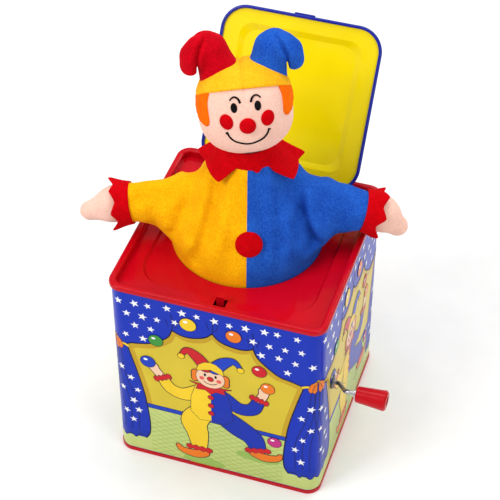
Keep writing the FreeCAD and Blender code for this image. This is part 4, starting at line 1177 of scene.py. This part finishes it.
def scenery(art):
    """A lit stage seen through drawn curtains."""
    arch = [point for run in ARCH for point in smooth_curve(run, 4)[:-1]]
    right = smooth_curve(CURTAIN, 4)
    left = mirrored(right)
    opening = arch + right + [(50, 15), (-50, 15)] + left[::-1]
    skirt = 52
    art.fill("green", [(-EDGE, FLOOR_LOW), (EDGE, FLOOR_LOW), (EDGE, 16), (-EDGE, 16)], 0)
    low_right = [p for p in right if p[1] < skirt]
    art.fill("green", [(-48, skirt), (48, skirt)] + low_right + mirrored(low_right)[::-1], 0)
    for slope in (-0.55, 0.55):
        for k in range(-13, 14):
            spots = []
            for x, z in ((-46, slope * (-46 - 8 * k)), (46, slope * (46 - 8 * k))):
                z = min(max(z, 4), 47)
                spots.append((z / slope + 8 * k, z))
            if dist(*spots) > 1:
                art.line(spots, 0.4, 1, "leaf", steps=1)
    high = [p for p in right if p[1] >= skirt] + [(48, skirt)]
    high = arch + high + mirrored(high[::-1])
    art.fill("ochre", high, 0)
    inner = [(x * 0.925 + 0.2, 51 + (z - 51) * 0.945) for x, z in high]
    art.fill("yellow", inner, 1)
    art.fill("blue", [(-48.6, 48.2), (48.4, 48.2), (48.9, 52), (-49, 52)], 2)
    art.line([(-48.6, 48.2), (48.4, 48.2)], 0.5, 3)
    art.line([(-49, 52), (48.9, 52)], 0.5, 3)
    for run in ARCH:
        art.line(run, 0.8, 3)
    for side in (-1, 1):
        art.line(mirrored(CURTAIN, side), 0.8, 3)
        hem = mirrored(HEM, side)
        art.fill("royal", [(side * 47.5, 22), *smooth_curve(hem, 4), (side * 68, 24)], 2)
        art.line(hem, 0.6, 3)
        for top, low, bend in ((64, 55, 2.4), (67, 60, 1.6), (70, 65, 0.8)):
            fold = [(top, 101), (top - bend, 75), (low - 0.5, 48), (low, 19)]
            art.line(mirrored(fold, side), 0.55, 1, "navy")
        for cord in ([(58.2, 103.4), (60.5, 104.6), (63, 105.2)], [(66.5, 108), (67.8, 109.6)]):
            art.limb("gold", mirrored(cord, side), 1.7, 4, 0.6)
        tassel = [
            (67.6, 109.5), (63.6, 107.6), (61.8, 102.6), (63.2, 99.6), (64.6, 100.6), (66, 98.8), (67.4, 100.8),
        ]
        art.shape("orange", mirrored(tassel, side), 5)
        art.line(mirrored([(66.3, 107.5), (64.6, 101.6)], side), 0.4, 7)
    for x, z in (run[0] for run in ARCH[1:]):
        art.line([(x, z), (x + 0.6, z + 7), (x - 0.5, z + 14)], 0.6, 1, "navy")
        art.line([(x - 2.2, z + 3), (x - 4, z + 9)], 0.5, 1, "navy")
        art.line([(x + 2.4, z + 3), (x + 4.4, z + 9)], 0.5, 1, "navy")
    return opening


def frill(x, z, half, lean):
    """A gathered frill seen from the side: a narrow band with pointed edges."""
    out = []
    for up in (1, -1):
        for k in range(9):
            along = (k / 8 * 2 - 1) * half * up
            rise = up * (2.6 if k % 2 else 1.3)
            out.append((x + along * cos(lean) - rise * sin(lean),
                        z + along * sin(lean) + rise * cos(lean)))
    return out


def jester(art):
    """A plain two-colour juggler, hopping on one leg."""
    for x, z in ((-9, 6.5), (29, 24)):
        art.fill("leaf", disc(x, z, 15, 4.5), 2)
    art.limb("gold", [(-8, 58), (-15, 46), (-13, 34), (-12, 22)], (15, 18, 15, 11), 6)
    art.limb("royal", [(4, 58), (15, 50), (25, 43), (29, 33)], (15, 17, 15, 11), 6)
    art.limb("orange", [(-9, 15.5), (-15, 12.5), (-24, 13.5), (-27, 17)], (8, 7, 5, 3), 7)
    art.limb("orange", [(27, 28.5), (34, 26), (42, 28), (44.5, 31.5)], (8, 7, 5, 3), 7)
    for place in ((-12, 19, 9, 0.0), (29, 31.5, 9, 0.25)):
        art.shape("red", frill(*place), 9)
    art.limb("gold", [(-11, 76), (-21, 70), (-30, 72), (-35, 79)], (11, 10.5, 9.5, 8), 6)
    art.limb("royal", [(6, 76), (16, 69), (25, 71), (29, 79)], (11, 10.5, 9.5, 8), 6)
    art.shape("gold", [(-3, 84), (-13, 82), (-16.5, 70), (-17, 56), (-11, 49), (-3, 50)], 8)
    art.shape("royal", [(-3, 84), (7, 82), (10.5, 70), (12, 56), (6, 49), (-3, 50)], 8)
    art.limb("peach", [(-36.5, 82), (-40, 86.5), (-42, 90)], (6, 6, 7), 9)
    art.limb("peach", [(30.2, 82), (32.4, 87), (33, 91)], (6, 6, 7), 9)
    for place in ((-35.8, 81, 6.5, 0.5), (29.7, 81.5, 6.5, -0.3)):
        art.shape("red", frill(*place), 11)
    for z in (73, 65, 57.5):
        art.shape("red", disc(-3, z, 1.9), 10)
    ruff = [(-13, 84)]
    for k in range(9):
        a = pi * (1 + k / 8)
        reach = 9.5 if k % 2 else 14
        ruff.append((-3 + reach * cos(a), 84.5 + 0.6 * reach * sin(a)))
    art.shape("red", ruff + [(7, 84)], 10)
    art.limb("orange", [(-13, 94), (-13.5, 88)], (5, 4), 10)
    art.limb("orange", [(7, 94), (7.5, 88)], (5, 4), 10)
    art.shape("peach", disc(-3, 91.5, 9.6, 9.2), 11)
    art.limb("red", [(-6, 101), (-12, 109), (-18, 112.5), (-22, 108)], (9, 8, 5, 2.5), 12)
    art.limb("blue", [(0, 101), (6, 108.5), (12.5, 112), (17, 107.5)], (9, 8, 5, 2.5), 12)
    cap = [(-12.2, 96.5), (-11, 101.5), (-7, 105), (-3, 106), (1, 105), (5, 101.5), (6.2, 96.5), (-3, 99.5)]
    art.shape("gold", cap, 13)
    for x, z in ((-22.4, 106), (17.4, 105.4)):
        art.shape("gold", disc(x, z, 2.2), 13)
    for x in (-6.6, 0.6):
        art.fill("line", disc(x, 93.6, 0.85, 1.5, 12), 13)
        art.fill("rose", disc(-3 + (x + 3) * 1.6, 90, 1.7, corners=14), 13)
    art.shape("red", disc(-3, 90.6, 2), 13)
    art.line([(-7.4, 87.6), (-5, 85.9), (-1, 85.9), (1.4, 87.6)], 0.6, 13)


def juggling(art):
    for x, z, radius, name in (
        (-17, 136, 5.4, "gold"), (-39.2, 114.6, 4.8, "grass"), (12.9, 134.8, 5, "orange"),
        (-45.4, 93.2, 5, "blue"), (29.7, 108.6, 4.8, "red"), (35.4, 94.5, 4.6, "orange"),
        (40.3, 44, 4.6, "magenta"),
    ):
        art.shape(name, disc(x, z, radius), 15)
        art.fill("white", disc(x - radius * 0.3, z + radius * 0.38, radius * 0.3, radius * 0.2, 10), 16)
        art.blocked.append((x, z, radius + 3))


def stars(art, opening):
    random = np.random.default_rng(7)
    for row in range(13):
        for column in range(-7, 8):
            x = column * 10.6 + (row % 2) * 5.3 + random.uniform(-1.4, 1.4)
            z = 21 + row * 10.3 + random.uniform(-1.4, 1.4)
            size = random.uniform(2.6, 3.3)
            if abs(x) > EDGE - size - 0.3 or z > PRINT_TOP - 3 or z < 22:
                continue
            ring = disc(x, z, size + 0.8, corners=8)
            if any(encloses(opening, p) for p in ring):
                continue
            if any(hypot(x - bx, z - bz) < radius for bx, bz, radius in art.blocked):
                continue
            if 57 < abs(x) and 94 < z < 114:
                continue
            art.fill("white", star(x, z, size, random.uniform(-0.5, 0.5)), 2)


def wall_point(s, z, lift):
    """A point of the front wall's print, bent round the corners where it passes them."""
    side, reach = copysign(1, s), abs(s)
    if reach <= FLAT:
        return Vector((s, -HALF - lift, z))
    turn = (reach - FLAT) / CORNER
    radius = CORNER + lift
    return Vector((side * (FLAT + radius * sin(turn)), -FLAT - radius * cos(turn), z))


def lay(art, placed):
    """One mesh an ink: placed is a list of functions that take a flat point to a wall."""
    for name, shapes in art.inks.items():
        form = bmesh.new()
        lift = form.verts.layers.float.new("lift")
        for layer, outline in shapes:
            points = []
            for x, z in outline:
                if not points or hypot(x - points[-1][0], z - points[-1][1]) > 0.02:
                    points.append((x, z))
            if len(points) < 3:
                continue
            made = [form.verts.new((x, z, 0)) for x, z in points]
            for vert in made:
                vert[lift] = 0.06 + 0.02 * layer
            form.faces.new(made)
        form.normal_update()
        bmesh.ops.triangulate(form, faces=form.faces[:], ngon_method="EAR_CLIP")
        for place in (side * (FLAT + 1.4 * k) for k in range(11) for side in (-1, 1)):
            everything = form.verts[:] + form.edges[:] + form.faces[:]
            bmesh.ops.bisect_plane(form, geom=everything, dist=1e-5, plane_co=(place, 0, 0), plane_no=(1, 0, 0))
        form.verts.index_update()
        flat = [(vert.co.x, vert.co.y, vert[lift]) for vert in form.verts]
        flat_faces = []
        for face in form.faces:
            corners = [vert.co for vert in face.verts]
            twice = sum(a.x * b.y - b.x * a.y for a, b in zip(corners, corners[1:] + corners[:1]))
            if abs(twice) > 1e-5:
                indices = [vert.index for vert in face.verts]
                flat_faces.append(indices if twice > 0 else indices[::-1])
        form.free()
        points, faces = [], []
        for make in placed:
            first = len(points)
            points += [make(*spot) for spot in flat]
            faces += [[first + i for i in face] for face in flat_faces]
        add_piece(f"print_{name}", points, faces, "printed_tin", ROW, "root", material=INK[name])


def make_print():
    art = Print()
    opening = scenery(art)
    jester(art)
    juggling(art)
    stars(art, opening)

    def on_side(k):
        turn = Matrix.Rotation(pi / 2 * k, 4, "Z")
        shift, drop = ((0, 0), (4, 5), (0, 0), (0, 2))[k]

        def place(s, z, lift):
            share = clamp((z - FLOOR_LOW) / 60) * clamp((PRINT_TOP - z) / 20)
            inner = max(1 - abs(s) / FLAT, 0)
            return turn @ wall_point(s + shift * min(inner * 3, 1), z - drop * share * min(inner * 4, 1), lift)
        return place

    lay(art, [on_side(k) for k in range(4)])


INK = {name: ink(f"ink_{name}", colour) for name, colour in INKS.items()}

# ---- CAD pieces that stay

NODE_FINISH = {
    "top_tray": "red_enamel", "base_pan": "red_enamel", "box_body": "printed_tin", "lid": "yellow_enamel",
}


def finish_cad():
    """Gives every shown CAD node its node material."""
    for name, obj in frame["nodes"].items():
        if obj.hide_render:
            continue
        given = obj.data.materials[0].name.split(".")[0] if obj.data.materials else "bright_steel"
        slot = NODE_FINISH.get(name, given if given in MATERIALS else "bright_steel")
        obj.data.materials.clear()
        obj.data.materials.append(MATERIALS[slot])


def main():
    make_camera()
    make_studio()
    bpy.context.scene.view_settings.view_transform = "Standard"
    make_tunic()
    make_collar()
    make_button()
    make_arm("left", -1, 9, 0.4, (17.5, 0, -3.4), 6.6)
    make_arm("right", 1, 13, 2.2, (13.5, 0, -7), 7.2)
    make_head()
    make_spring()
    make_print()
    finish_cad()


main()
